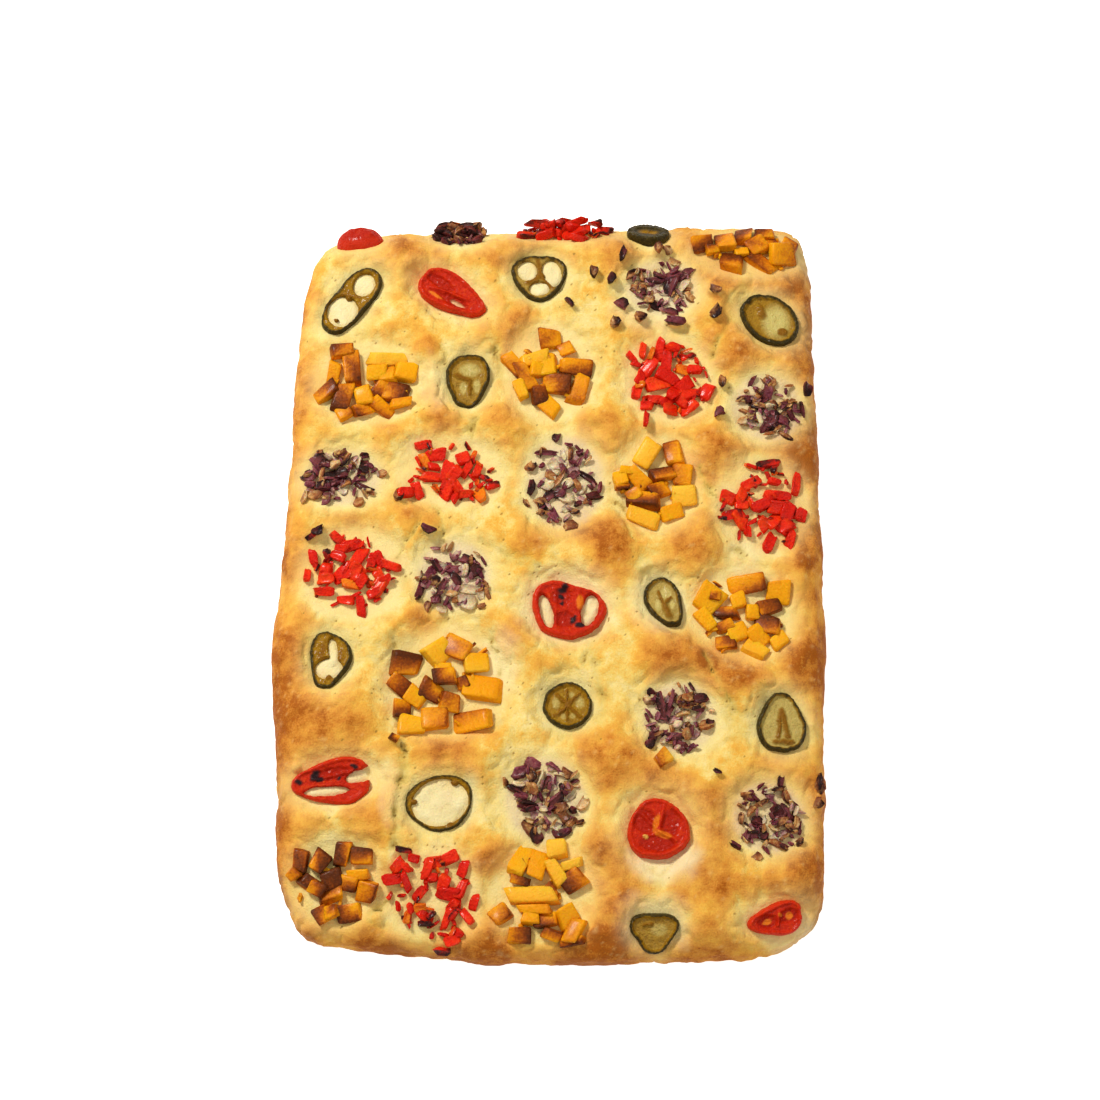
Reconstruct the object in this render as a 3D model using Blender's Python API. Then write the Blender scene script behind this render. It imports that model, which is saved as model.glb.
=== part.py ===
"""A sheet focaccia baked in a 9 by 13 inch tin and topped with sliced and diced vegetables.

Units are metres, +Z up. The origin is at the middle of the flat underside, and +Y points
to the far short side. The bread is one solid. Every slice of tomato and jalapeno is a
solid, and so is every heap of diced pepper or onion: its pieces are fused to a low core.
"""

import math
import random

import bmesh
import bpy
import numpy as np
from mathutils import Matrix, Vector, noise

# Driving sizes of the bread
HALF_WIDTH = 0.116
HALF_LENGTH = 0.164
CRUST_TOP = 0.027
WAIST_HEIGHT = 0.011
HEEL_HEIGHT = 0.0035
HEEL_INSET = 0.0012
SOLE_INSET = 0.0042
SHOULDER = 0.017
GRID_COLUMNS = 33
GRID_ROWS = 47
SHOULDER_STEPS = (0.0, 0.0013, 0.0048, 0.0105, 0.017)
SEAT_GAP = 0.0004

# The outline at its widest, as points on a smooth closed curve, counter-clockwise
OUTLINE = (
    (0.1193, 0.002), (0.1190, 0.060), (0.1186, 0.115), (0.1180, 0.148), (0.1122, 0.1640),
    (0.090, 0.1672), (0.040, 0.1666), (-0.010, 0.1650), (-0.060, 0.1643), (-0.088, 0.1622),
    (-0.104, 0.1555), (-0.1095, 0.138), (-0.1130, 0.105), (-0.1148, 0.050), (-0.1168, 0.004),
    (-0.1193, -0.034), (-0.1158, -0.074), (-0.1145, -0.118), (-0.1094, -0.141),
    (-0.0980, -0.1572), (-0.062, -0.1618), (-0.015, -0.1662), (0.060, -0.1652),
    (0.090, -0.1632), (0.1062, -0.1560), (0.1140, -0.141), (0.1162, -0.100),
    (0.1176, -0.055), (0.1197, -0.025),
)

# Swellings of the dough between the toppings: (x, y, radius, rise)
SWELLS = (
    (-0.072, 0.147, 0.013, 0.0030), (-0.022, 0.156, 0.011, 0.0022), (0.028, 0.158, 0.011, 0.0022),
    (-0.027, 0.112, 0.011, 0.0022), (-0.053, 0.101, 0.009, 0.0024), (0.078, 0.133, 0.012, 0.0026),
    (0.077, 0.108, 0.010, 0.0024), (-0.106, 0.080, 0.013, 0.0020), (-0.050, 0.070, 0.011, 0.0024),
    (-0.020, 0.066, 0.010, 0.0024), (0.024, 0.066, 0.012, 0.0026), (0.072, 0.053, 0.012, 0.0030),
    (-0.108, 0.016, 0.010, 0.0016), (-0.061, 0.026, 0.010, 0.0018), (-0.012, 0.015, 0.010, 0.0022),
    (0.030, 0.012, 0.013, 0.0042), (0.066, 0.014, 0.014, 0.0044), (0.108, 0.000, 0.011, 0.0026),
    (-0.064, -0.022, 0.009, 0.0018), (-0.015, -0.034, 0.010, 0.0024), (0.048, -0.035, 0.014, 0.0044),
    (0.078, -0.050, 0.015, 0.0038), (-0.086, -0.060, 0.016, 0.0036), (-0.112, -0.030, 0.010, 0.0024),
    (-0.028, -0.077, 0.017, 0.0036), (0.028, -0.079, 0.014, 0.0030), (-0.070, -0.110, 0.012, 0.0022),
    (0.068, -0.098, 0.013, 0.0026), (0.066, -0.125, 0.014, 0.0026), (0.106, -0.128, 0.011, 0.0032),
    (-0.025, -0.122, 0.010, 0.0022), (0.022, -0.125, 0.012, 0.0026), (0.018, -0.150, 0.010, 0.0020),
    (0.066, -0.150, 0.011, 0.0018), (-0.072, -0.148, 0.009, 0.0014), (-0.112, -0.095, 0.010, 0.0016),
)
RIPPLE_SCALE = 0.020
RIPPLE_RISE = 0.0011
RIM_PULL_START = 0.45

# How each vegetable was cut: thickness of a piece, how far it leans in degrees, and the
# height of the heap's core over the crust
CUTS = {
    "yellow_pepper": dict(thickness=0.0052, lean=6, core=0.0020),
    "red_pepper": dict(thickness=0.0034, lean=9, core=0.0013),
    "red_onion": dict(thickness=0.0028, lean=9, core=0.0012),
}
FLAT_ANGLE = 1.2
WELD = 0.00002
CORE_DEPTH = 0.0030
CORE_REACH = 0.92
PIECE_SPREAD = 0.15
PIECE_TAPER = 0.14
PIECE_SINK = 0.22
CROWD_REACH = 0.0060
CROWD_LIFT = 0.25

# Heaps of dice: the middle, and half the width and length of the dimple that holds them
HEAPS = {
    "red_onion_1": dict(at=(-0.0410, 0.1598), half=(0.0122, 0.0060), depth=0.0024),
    "red_pepper_1": dict(at=(0.0070, 0.1620), half=(0.0210, 0.0052), depth=0.0024),
    "yellow_pepper_1": dict(at=(0.0900, 0.1505), half=(0.0225, 0.0110)),
    "red_onion_2": dict(at=(0.0510, 0.1340), half=(0.0165, 0.0140)),
    "yellow_pepper_2": dict(at=(-0.0815, 0.0880), half=(0.0212, 0.0181)),
    "yellow_pepper_3": dict(at=(0.0000, 0.0925), half=(0.0188, 0.0212)),
    "red_pepper_2": dict(at=(0.0535, 0.0895), half=(0.0190, 0.0190)),
    "red_onion_3": dict(at=(0.0960, 0.0760), half=(0.0165, 0.0165)),
    "red_onion_4": dict(at=(-0.0900, 0.0430), half=(0.0175, 0.0137)),
    "red_pepper_3": dict(at=(-0.0440, 0.0460), half=(0.0215, 0.0153)),
    "red_onion_5": dict(at=(0.0070, 0.0410), half=(0.0175, 0.0225)),
    "yellow_pepper_4": dict(at=(0.0465, 0.0400), half=(0.0175, 0.0203)),
    "red_pepper_4": dict(at=(0.0925, 0.0300), half=(0.0193, 0.0215)),
    "red_pepper_5": dict(at=(-0.0845, -0.0010), half=(0.0208, 0.0198)),
    "red_onion_6": dict(at=(-0.0410, -0.0015), half=(0.0163, 0.0165)),
    "yellow_pepper_5": dict(at=(0.0820, -0.0195), half=(0.0210, 0.0195)),
    "yellow_pepper_6": dict(at=(-0.0435, -0.0490), half=(0.0248, 0.0226)),
    "red_onion_7": dict(at=(0.0550, -0.0650), half=(0.0162, 0.0160)),
    "red_onion_8": dict(at=(-0.0015, -0.1000), half=(0.0176, 0.0186)),
    "red_onion_9": dict(at=(0.0915, -0.1075), half=(0.0160, 0.0162)),
    "yellow_pepper_7": dict(at=(-0.0890, -0.1340), half=(0.0175, 0.0170)),
    "red_pepper_6": dict(at=(-0.0485, -0.1410), half=(0.0192, 0.0185)),
    "yellow_pepper_8": dict(at=(-0.0020, -0.1390), half=(0.0207, 0.0195)),
}

# The dice of each heap that are kept as solids, in mm: x and y from the heap's middle,
# length, width, and turn in degrees
DICE = {
    "red_onion_1": (
        (-8.4, 2.9, 7.2, 3.6, 10), (-2.9, 0.5, 6.3, 4.1, 0), (3.9, 2.4, 7.2, 5.4, 0),
        (8.8, 3.6, 6.3, 3.6, 40), (8.2, -3.6, 5.4, 2.3, 10), (-5.7, -4.2, 4.5, 2.3, -35),
    ),
    "red_pepper_1": (
        (-16.6, -1.9, 10.0, 2.7, 5), (-7.9, 1.4, 9.1, 4.5, -65), (0.7, 0.4, 6.3, 3.2, 10),
        (3.9, -2.9, 10.0, 4.1, -5), (7.5, 1.0, 7.3, 3.6, -10), (17.6, 0.6, 6.3, 2.7, -15),
    ),
    "yellow_pepper_1": (
        (-20.6, 4.0, 9.0, 7.2, 15), (-11.1, 5.9, 8.1, 9.0, 0), (-2.9, 8.2, 7.2, 7.2, -3),
        (-7.5, -5.9, 9.0, 7.2, -20), (5.2, -5.0, 12.7, 5.4, -38), (14.7, -0.7, 10.8, 9.9, 5),
    ),
    "red_onion_2": (
        (10.8, 6.4, 9.0, 3.2, 40), (4.1, 5.4, 9.9, 4.1, 15), (3.6, -0.2, 9.0, 5.4, 65),
        (-4.5, 3.1, 9.9, 2.7, -5), (-11.3, -0.7, 6.3, 4.1, -10), (-3.6, -9.2, 7.2, 3.2, -40),
        (12.4, -5.4, 5.4, 3.2, -30),
    ),
    "yellow_pepper_2": (
        (8.9, 11.7, 15.1, 5.8, 0), (-5.8, 6.1, 13.3, 6.7, 97), (-14.2, 4.2, 9.8, 4.9, 80),
        (-10.7, -8.4, 11.5, 7.1, 75), (16.9, 5.1, 8.9, 8.0, -5), (14.7, -5.1, 9.8, 8.0, -10),
        (-0.4, -6.1, 7.1, 8.0, 10), (7.1, -11.7, 9.8, 5.3, -35), (-17.3, -5.6, 10.7, 5.3, 35),
    ),
    "yellow_pepper_3": (
        (1.1, 16.1, 8.9, 8.0, 0), (-7.3, 6.3, 11.5, 5.3, 15), (0.2, 4.4, 6.2, 10.7, 0),
        (-15.3, 3.5, 10.7, 6.2, -50), (-10.0, -3.0, 12.4, 5.3, -62), (11.3, 2.6, 12.4, 7.1, -8),
        (3.3, -5.8, 11.5, 8.0, -5), (12.2, -8.6, 11.5, 7.1, 70), (0.2, -15.2, 9.8, 7.1, -45),
    ),
    "red_pepper_2": (
        (-4.0, 13.1, 8.9, 3.6, 75), (-1.8, 7.5, 9.8, 4.4, 80), (-9.8, 4.7, 8.0, 5.3, 50),
        (5.8, 4.7, 6.2, 4.0, -15), (-6.2, -1.9, 8.9, 5.8, 10), (6.2, -2.8, 7.1, 5.3, 40),
        (1.8, -6.1, 8.9, 5.3, 60), (16.0, -6.5, 6.2, 4.9, 65), (8.0, -14.0, 8.0, 4.4, 25),
    ),
    "red_onion_3": (
        (1.3, 13.0, 7.1, 4.4, -45), (0.0, 5.6, 8.0, 5.3, 70), (-4.0, 0.5, 6.2, 3.1, -20),
        (1.8, -4.7, 8.0, 6.2, 80), (-0.9, -8.4, 7.1, 3.1, 70), (7.5, -7.0, 5.3, 3.5, -20),
        (-10.2, -7.0, 5.3, 3.5, 10),
    ),
    "red_onion_4": (
        (-10.7, 7.1, 7.0, 6.1, -50), (-0.2, 10.4, 5.3, 3.9, -20), (9.0, 5.3, 7.9, 3.9, -85),
        (-14.8, 0.7, 6.1, 5.3, -30), (-5.0, -0.7, 7.9, 6.1, 10), (9.0, -4.4, 7.9, 2.2, -25),
        (-12.5, -8.1, 6.1, 3.9, -10),
    ),
    "red_pepper_3": (
        (-11.6, 12.0, 6.6, 3.5, 15), (-6.4, 7.8, 8.3, 5.3, 10), (-0.2, 0.0, 8.8, 5.3, 80),
        (5.9, 6.0, 6.1, 5.3, -70), (-6.8, -3.2, 7.9, 3.5, -5), (-0.2, -8.3, 8.8, 5.3, 60),
        (13.8, -10.6, 7.4, 5.3, -60), (-12.9, -9.7, 6.6, 3.9, -65), (12.5, -0.5, 5.3, 3.5, 70),
    ),
    "red_onion_5": (
        (-7.0, 13.8, 9.6, 2.2, -2), (-14.9, 7.4, 6.1, 3.5, 60), (-4.4, 7.4, 5.3, 3.9, 0),
        (-7.4, -0.9, 6.1, 6.1, 0), (10.1, 1.8, 7.9, 2.6, -30), (13.1, -6.4, 7.9, 3.5, 25),
        (-10.5, -10.1, 6.1, 4.8, -60), (0.0, -7.4, 6.1, 4.4, 0), (-5.3, -14.7, 6.1, 3.5, -65),
    ),
    "yellow_pepper_4": (
        (-3.5, 15.2, 11.4, 7.9, 60), (8.7, 13.8, 7.0, 9.6, 5), (-7.0, 1.8, 10.5, 6.1, -50),
        (2.2, 4.6, 9.6, 5.2, 10), (11.8, 4.1, 8.7, 7.9, 85), (12.2, -4.6, 9.6, 8.7, 0),
        (-5.2, -8.3, 13.1, 6.1, -15), (-5.2, -15.2, 13.1, 7.0, -20), (6.1, -12.9, 8.7, 6.1, 20),
    ),
    "red_pepper_4": (
        (-5.5, 10.1, 7.4, 3.9, 30), (15.2, 10.5, 8.7, 3.5, 80), (-14.2, 3.2, 6.5, 5.2, -20),
        (1.1, 0.5, 8.7, 4.4, 25), (11.1, -1.8, 7.8, 4.8, 70), (-9.4, -6.9, 7.8, 5.2, -50),
        (5.0, -7.3, 7.0, 4.8, 50), (2.8, -16.9, 7.8, 4.4, 65), (11.2, -15.2, 7.4, 3.5, 75),
        (4.6, 5.0, 6.1, 3.9, -10),
    ),
    "red_pepper_5": (
        (-7.1, 16.0, 6.0, 3.9, -40), (-1.1, 12.7, 7.3, 4.3, 15), (1.5, 6.8, 8.6, 5.2, 60),
        (-17.2, 7.3, 5.6, 3.9, -80), (-11.4, 0.9, 6.9, 4.3, 75), (-4.5, 0.0, 8.6, 6.5, 30),
        (16.0, 3.6, 8.6, 3.5, -20), (11.9, -5.4, 7.8, 5.2, 60), (-12.7, -8.2, 7.8, 3.9, 0),
        (3.7, -15.0, 7.8, 3.5, -82),
    ),
    "red_onion_6": (
        (-10.8, -0.7, 8.6, 4.3, 65), (-0.4, 2.5, 6.9, 3.5, 10), (4.8, 7.0, 6.0, 4.3, -30),
        (9.5, 1.6, 5.2, 4.3, 40), (-5.6, -7.0, 8.6, 2.6, 65), (6.0, -6.1, 7.8, 3.9, -5),
        (5.2, -12.0, 6.9, 6.0, 0), (11.8, -9.3, 5.2, 3.0, -80),
    ),
    "yellow_pepper_5": (
        (-13.9, 6.3, 11.2, 10.3, 55), (3.2, 14.0, 14.6, 7.7, 10), (15.8, 9.9, 9.4, 9.4, -10),
        (11.8, -3.6, 10.3, 7.7, -20), (-14.8, -1.8, 9.4, 6.0, -55), (-1.5, -8.1, 6.9, 7.7, -70),
        (6.6, -9.0, 8.6, 6.9, -50), (5.4, -15.4, 9.4, 6.0, -35), (-5.4, 0.5, 8.6, 4.3, -5),
    ),
    "yellow_pepper_6": (
        (-17.9, 8.5, 11.1, 9.4, -3), (-4.3, 13.0, 10.2, 9.4, 40), (12.3, 8.0, 9.4, 7.7, 5),
        (-0.4, 2.7, 8.5, 6.8, 8), (-19.4, -1.3, 9.4, 6.8, -40), (17.0, -3.1, 14.5, 9.4, -6),
        (0.9, -8.5, 7.7, 7.7, 80), (-4.7, -16.5, 10.2, 8.5, 5), (11.5, -16.6, 15.8, 8.5, 3),
        (-14.6, -18.2, 10.2, 7.7, -3),
    ),
    "red_onion_7": (
        (-7.8, 6.7, 8.5, 3.4, -80), (-12.3, 8.0, 5.1, 3.8, 0), (4.4, 9.3, 5.9, 3.8, 20),
        (9.5, 8.5, 5.9, 4.2, 10), (11.2, -3.1, 5.9, 5.1, -10), (-11.6, -7.6, 6.8, 3.4, 70),
        (-2.7, -8.0, 8.5, 3.8, -5), (-4.9, 2.7, 5.9, 3.8, 60),
    ),
    "red_onion_8": (
        (-11.5, 11.9, 7.5, 5.0, 10), (-4.8, 14.6, 5.9, 4.6, -20), (-6.1, 4.8, 6.7, 5.0, 0),
        (-7.8, -1.8, 7.5, 3.4, -15), (9.0, 11.4, 5.0, 3.8, -30), (5.2, -3.1, 8.4, 3.8, 0),
        (14.8, -1.8, 5.9, 3.8, 60), (6.9, -14.1, 6.7, 3.4, 15), (-4.0, -15.0, 6.7, 5.0, -60),
    ),
    "red_onion_9": (
        (-8.2, 9.4, 5.0, 3.8, 10), (-3.1, 5.9, 6.7, 2.1, 30), (2.3, 2.4, 7.5, 3.3, 10),
        (8.6, 1.1, 5.9, 2.9, -60), (-5.2, -7.2, 8.4, 3.3, -5), (3.1, -11.2, 7.5, 2.9, -30),
        (7.3, 9.0, 5.0, 2.5, -70), (12.3, -10.4, 4.2, 2.9, 0),
    ),
    "yellow_pepper_7": (
        (-13.2, 9.6, 8.3, 5.0, 85), (-6.0, 9.1, 8.3, 6.6, 60), (3.1, 10.4, 9.1, 5.8, 75),
        (11.4, 10.5, 8.3, 6.6, -5), (-10.6, -0.4, 7.5, 5.0, -35), (-0.6, 1.3, 8.3, 7.5, 20),
        (13.5, -3.9, 7.5, 7.5, -10), (7.7, -13.1, 8.3, 7.5, 8), (-1.4, -5.7, 9.1, 5.8, 15),
    ),
    "red_pepper_6": (
        (-14.8, 8.2, 8.3, 4.1, 10), (2.1, 15.2, 8.3, 4.1, 10), (13.0, 12.2, 6.2, 3.7, 75),
        (5.4, 6.1, 6.6, 4.1, 70), (12.4, 4.3, 7.4, 3.7, 70), (-5.0, 1.7, 5.8, 3.3, 50),
        (-2.9, -7.4, 6.6, 3.7, -25), (14.2, -7.4, 6.6, 3.3, -50), (8.7, -16.2, 5.8, 3.7, 20),
    ),
    "yellow_pepper_8": (
        (-9.3, 13.2, 12.4, 6.6, 60), (-2.3, 12.4, 11.6, 6.6, 75), (6.0, 17.2, 7.4, 6.6, 10),
        (12.2, 5.4, 9.1, 8.3, 35), (-5.2, -1.5, 18.2, 6.2, 0), (-17.0, -8.5, 6.6, 7.4, -60),
        (1.0, -10.6, 8.3, 5.8, 5), (9.3, -10.6, 8.3, 7.4, -60), (-10.5, -17.0, 8.3, 6.2, -3),
        (12.6, -15.4, 9.9, 5.8, 65),
    ),
}
MM = 0.001

# Slices of jalapeno and tomato. A slice is an ellipse, half sizes and turn in degrees,
# pulled to three corners and pinched at its waist; its windows are the open chambers:
# (x, y, half length, half width, turn). A floor closes them where flesh fills them.
SLICES = {
    "jalapeno_1": dict(
        at=(0.0450, 0.1602), half=(0.0098, 0.0070), turn=-12, thick=0.0034, depth=0.0024,
        windows=((0.0, 0.0, 0.0064, 0.0040, 0),),
    ),
    "jalapeno_2": dict(
        at=(-0.0885, 0.1275), half=(0.0182, 0.0096), turn=52, pinch=0.17, thick=0.0034,
        windows=((-0.0068, -0.0002, 0.0078, 0.0067, 0), (0.0088, 0.0004, 0.0052, 0.0045, 0)),
    ),
    "jalapeno_3": dict(
        at=(-0.0045, 0.1390), half=(0.0122, 0.0112), turn=0, corner=0.10, aim=150, thick=0.0032,
        windows=(
            (-0.0046, 0.0038, 0.0046, 0.0037, 120), (0.0053, 0.0010, 0.0060, 0.0034, 100),
            (-0.0004, -0.0060, 0.0042, 0.0026, 0),
        ),
    ),
    "jalapeno_4": dict(
        at=(0.0985, 0.1180), half=(0.0142, 0.0110), turn=-38, thick=0.0036, floor=0.0012,
        windows=((0.0026, 0.0002, 0.0082, 0.0078, 0), (-0.0088, 0.0002, 0.0028, 0.0052, 0)),
    ),
    "jalapeno_5": dict(
        at=(-0.0360, 0.0890), half=(0.0128, 0.0096), turn=84, corner=0.07, aim=270,
        thick=0.0034, floor=0.0018,
        windows=((0.0042, 0.0004, 0.0052, 0.0066, 0), (-0.0058, 0.0006, 0.0042, 0.0048, 0)),
    ),
    "jalapeno_6": dict(
        at=(0.0495, -0.0140), half=(0.0117, 0.0078), turn=112, corner=0.05, aim=60,
        thick=0.0034, floor=0.0012,
        windows=((0.0000, 0.0002, 0.0088, 0.0050, 0),),
    ),
    "jalapeno_7": dict(
        at=(-0.0935, -0.0395), half=(0.0127, 0.0088), turn=88, corner=0.10, aim=250, thick=0.0034,
        windows=((-0.0048, 0.0000, 0.0044, 0.0058, 0), (0.0052, 0.0002, 0.0042, 0.0028, 0)),
    ),
    "jalapeno_8": dict(
        at=(0.0078, -0.0595), half=(0.0104, 0.0102), turn=0, thick=0.0036, floor=0.0022,
        windows=(
            (-0.0050, 0.0010, 0.0026, 0.0032, 80), (0.0052, 0.0002, 0.0026, 0.0036, 0),
            (0.0002, -0.0056, 0.0036, 0.0022, 0), (0.0002, 0.0056, 0.0034, 0.0020, 0),
        ),
    ),
    "jalapeno_9": dict(
        at=(0.0980, -0.0675), half=(0.0128, 0.0104), turn=90, corner=0.08, aim=90, thick=0.0034, floor=0.0012,
        windows=(
            (0.0006, 0.0056, 0.0058, 0.0026, 0), (0.0000, -0.0056, 0.0060, 0.0026, 0),
            (-0.0080, 0.0, 0.0018, 0.0030, 0),
        ),
    ),
    "jalapeno_10": dict(
        at=(-0.0458, -0.1010), half=(0.0142, 0.0118), turn=14, corner=0.05, aim=45, thick=0.0032,
        windows=((0.0004, 0.0, 0.0122, 0.0098, 0),),
    ),
    "jalapeno_11": dict(
        at=(0.0432, -0.1540), half=(0.0098, 0.0084), turn=0, corner=0.14, aim=270, thick=0.0034, floor=0.0020,
        windows=((0.0, 0.0006, 0.0070, 0.0052, 0),),
    ),
    "tomato_1": dict(at=(-0.0858, 0.1570), half=(0.0107, 0.0068), turn=2, thick=0.0052, depth=0.0024),
    "tomato_2": dict(
        at=(-0.0442, 0.1310), half=(0.0168, 0.0088), turn=-32, corner=0.09, aim=148,
        thick=0.0058, floor=0.0036,
        windows=((-0.0050, 0.0026, 0.0072, 0.0026, 0), (0.0030, -0.0036, 0.0080, 0.0021, 0)),
    ),
    "tomato_3": dict(
        at=(0.0078, -0.0170), half=(0.0160, 0.0134), turn=-14, corner=0.07, aim=250, pinch=0.09, thick=0.0044,
        windows=((-0.0094, -0.0014, 0.0030, 0.0078, 12), (0.0098, 0.0006, 0.0038, 0.0076, -12)),
    ),
    "tomato_4": dict(
        at=(-0.0900, -0.0920), half=(0.0166, 0.0098), turn=7, corner=0.06, aim=350, thick=0.0040,
        windows=((-0.0026, -0.0042, 0.0086, 0.0024, 0), (0.0084, 0.0018, 0.0042, 0.0032, 0)),
    ),
    "tomato_5": dict(
        at=(0.0455, -0.1128), half=(0.0131, 0.0128), turn=0, corner=0.04, aim=140, thick=0.0070, floor=0.0048,
        windows=(
            (-0.0054, 0.0028, 0.0050, 0.0026, 42), (0.0052, 0.0030, 0.0042, 0.0034, 80),
            (0.0000, -0.0068, 0.0068, 0.0026, 0),
        ),
    ),
    "tomato_6": dict(
        at=(0.0940, -0.1490), half=(0.0116, 0.0068), turn=16, thick=0.0052, floor=0.0034,
        windows=((-0.0048, 0.0, 0.0036, 0.0034, 0), (0.0044, 0.0, 0.0040, 0.0036, 0)),
    ),
}
SLICE_SIDES = 16
WINDOW_SIDES = 8
SLICE_SUNK = 0.0020
FLESH_INSET = 0.97
FLESH_SUNK = 0.0024
DOME_SIDES = 14
DOME_RINGS = 8

# How deep the dimple of each vegetable is under the dough round it, unless it names its own
PIT_DEPTH = {
    "jalapeno": 0.0042,
    "tomato": 0.0050,
    "yellow_pepper": 0.0042,
    "red_pepper": 0.0034,
    "red_onion": 0.0032,
}
PIT_MARGIN = 0.0012
PIT_FLOOR = 0.92
PIT_BRIM = 1.38
PIT_SPAN = 0.8
BRIM_FADE = 0.007

# Scraps that lie apart, baked onto the crust: (x, y, length, width, turn in degrees)
SCRAPS = (
    (0.0200, 0.1395, 0.0050, 0.0040, 80), (0.0278, 0.1365, 0.0052, 0.0036, 60),
    (0.0330, 0.1480, 0.0062, 0.0030, 70), (0.0370, 0.1395, 0.0060, 0.0036, 30),
    (0.0322, 0.1240, 0.0056, 0.0050, -35), (0.0293, 0.1150, 0.0050, 0.0044, 70),
    (0.0405, 0.1180, 0.0052, 0.0042, -20), (0.0560, 0.1160, 0.0090, 0.0042, -12),
    (0.0740, 0.1195, 0.0072, 0.0046, 50), (0.0742, 0.1302, 0.0050, 0.0036, -20),
    (0.0425, 0.0690, 0.0076, 0.0024, 80), (-0.0522, 0.0180, 0.0066, 0.0036, -25),
    (0.0764, 0.0872, 0.0050, 0.0034, 80), (0.0748, 0.0720, 0.0046, 0.0036, 20),
    (-0.0655, 0.0335, 0.0052, 0.0046, 60), (0.0704, -0.0890, 0.0034, 0.0018, -35),
    (0.0476, -0.0830, 0.0074, 0.0066, 40), (-0.0650, -0.0745, 0.0040, 0.0028, -25),
    (0.1140, 0.0840, 0.0060, 0.0034, 88), (0.1135, -0.0925, 0.0080, 0.0036, 80),
    (0.1122, -0.1012, 0.0050, 0.0032, 60), (-0.1000, 0.0180, 0.0052, 0.0038, 30),
    (-0.1065, -0.0860, 0.0030, 0.0026, 0), (0.0090, 0.1250, 0.0052, 0.0020, -50),
    (0.0496, 0.1512, 0.0045, 0.0036, 60), (0.0530, 0.1508, 0.0054, 0.0032, -40),
)
SCRAP_THICKNESS = 0.0034
SCRAP_SINK = 0.0006
SCRAP_TAPER = (0.0, 0.0, 0.15, 0.1)

COLOURS = {
    "bread": (0.80, 0.52, 0.20, 0.75),
    "jalapeno": (0.22, 0.20, 0.04, 0.45),
    "tomato": (0.62, 0.05, 0.01, 0.35),
    "yellow_pepper": (0.85, 0.42, 0.02, 0.40),
    "red_pepper": (0.66, 0.03, 0.01, 0.35),
    "red_onion": (0.16, 0.05, 0.07, 0.50),
}


def kind_of(name):
    """The vegetable that a node's name begins with."""
    return name.rsplit("_", 1)[0]


def smooth_curve(points, steps):
    """Points on a smooth closed curve through the given ones (Catmull-Rom)."""
    made = []
    count = len(points)
    for i in range(count):
        before, start, end, after = (Vector(points[(i + k) % count]) for k in (-1, 0, 1, 2))
        for step in range(steps):
            t = step / steps
            made.append(
                0.5 * (2 * start + (end - before) * t + (2 * before - 5 * start + 4 * end - after) * t * t
                       + (3 * start - before - 3 * end + after) * t ** 3)
            )
    return made


RIM = np.array(smooth_curve(OUTLINE, 12))
RIM_ANGLES = np.arctan2(RIM[:, 1], RIM[:, 0])
RIM_ORDER = np.argsort(RIM_ANGLES)


def rim_distance(x, y):
    """Distance from a point of the plan to the bread's outline."""
    return float(np.sqrt(((RIM - (x, y)) ** 2).sum(axis=1).min()))


def rim_radius(angle):
    """How far the outline is from the origin in that direction."""
    radii = np.hypot(RIM[RIM_ORDER, 0], RIM[RIM_ORDER, 1])
    return float(np.interp(angle, RIM_ANGLES[RIM_ORDER], radii, period=2 * math.pi))


def smooth_step(low, high, value):
    t = min(1.0, max(0.0, (value - low) / (high - low)))
    return t * t * (3 - 2 * t)


def dough_height(x, y):
    """Height of the dough's top before a topping is pressed in: level, falling round the shoulder."""
    height = CRUST_TOP
    for cx, cy, radius, rise in SWELLS:
        height += rise * math.exp(-((x - cx) ** 2 + (y - cy) ** 2) / radius ** 2)
    height += RIPPLE_RISE * noise.noise(Vector((x / RIPPLE_SCALE, y / RIPPLE_SCALE, 0.0)))
    inward = 1 - min(1.0, rim_distance(x, y) / SHOULDER)
    return WAIST_HEIGHT + (height - WAIST_HEIGHT) * math.sqrt(max(0.0, 1 - inward ** 2))


def make_pit(name, spec):
    """The dimple that a topping has pressed into the dough: a flat floor, sloped as the dough is there."""
    (x, y), (a, b) = spec["at"], spec["half"]
    turn = math.radians(spec.get("turn", 0))
    reach = min(a, b) * PIT_SPAN
    level = (dough_height(x + reach, y) + dough_height(x - reach, y)) / 4
    level += (dough_height(x, y + reach) + dough_height(x, y - reach)) / 4
    slope_x = (dough_height(x + reach, y) - dough_height(x - reach, y)) / (2 * reach)
    slope_y = (dough_height(x, y + reach) - dough_height(x, y - reach)) / (2 * reach)
    level -= spec.get("depth", PIT_DEPTH[kind_of(name)])
    return dict(at=(x, y), half=(a, b), turn=turn, level=level, slope=(slope_x, slope_y))


PITS = [make_pit(name, spec) for name, spec in {**HEAPS, **SLICES}.items()]


def pit_share(pit, x, y):
    """How much a point of the plan belongs to a dimple: 1 on its floor, 0 beyond its brim."""
    dx, dy = x - pit["at"][0], y - pit["at"][1]
    along = dx * math.cos(pit["turn"]) + dy * math.sin(pit["turn"])
    across = dy * math.cos(pit["turn"]) - dx * math.sin(pit["turn"])
    reach = math.hypot(along / (pit["half"][0] + PIT_MARGIN), across / (pit["half"][1] + PIT_MARGIN))
    return 1 - smooth_step(PIT_FLOOR, PIT_BRIM, reach)


def crust_height(x, y):
    """Height of the bread's top at a point of the plan."""
    height = dough_height(x, y)
    most, weights, floors = 0.0, 0.0, 0.0
    for pit in PITS:
        share = pit_share(pit, x, y)
        if share > 0:
            floor = pit["level"] + pit["slope"][0] * (x - pit["at"][0]) + pit["slope"][1] * (y - pit["at"][1])
            most = max(most, share)
            weights += share ** 4
            floors += share ** 4 * floor
    if most:
        most *= smooth_step(0.0, BRIM_FADE, rim_distance(x, y))
        height += most * (min(floors / weights, height) - height)
    return height


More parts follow.
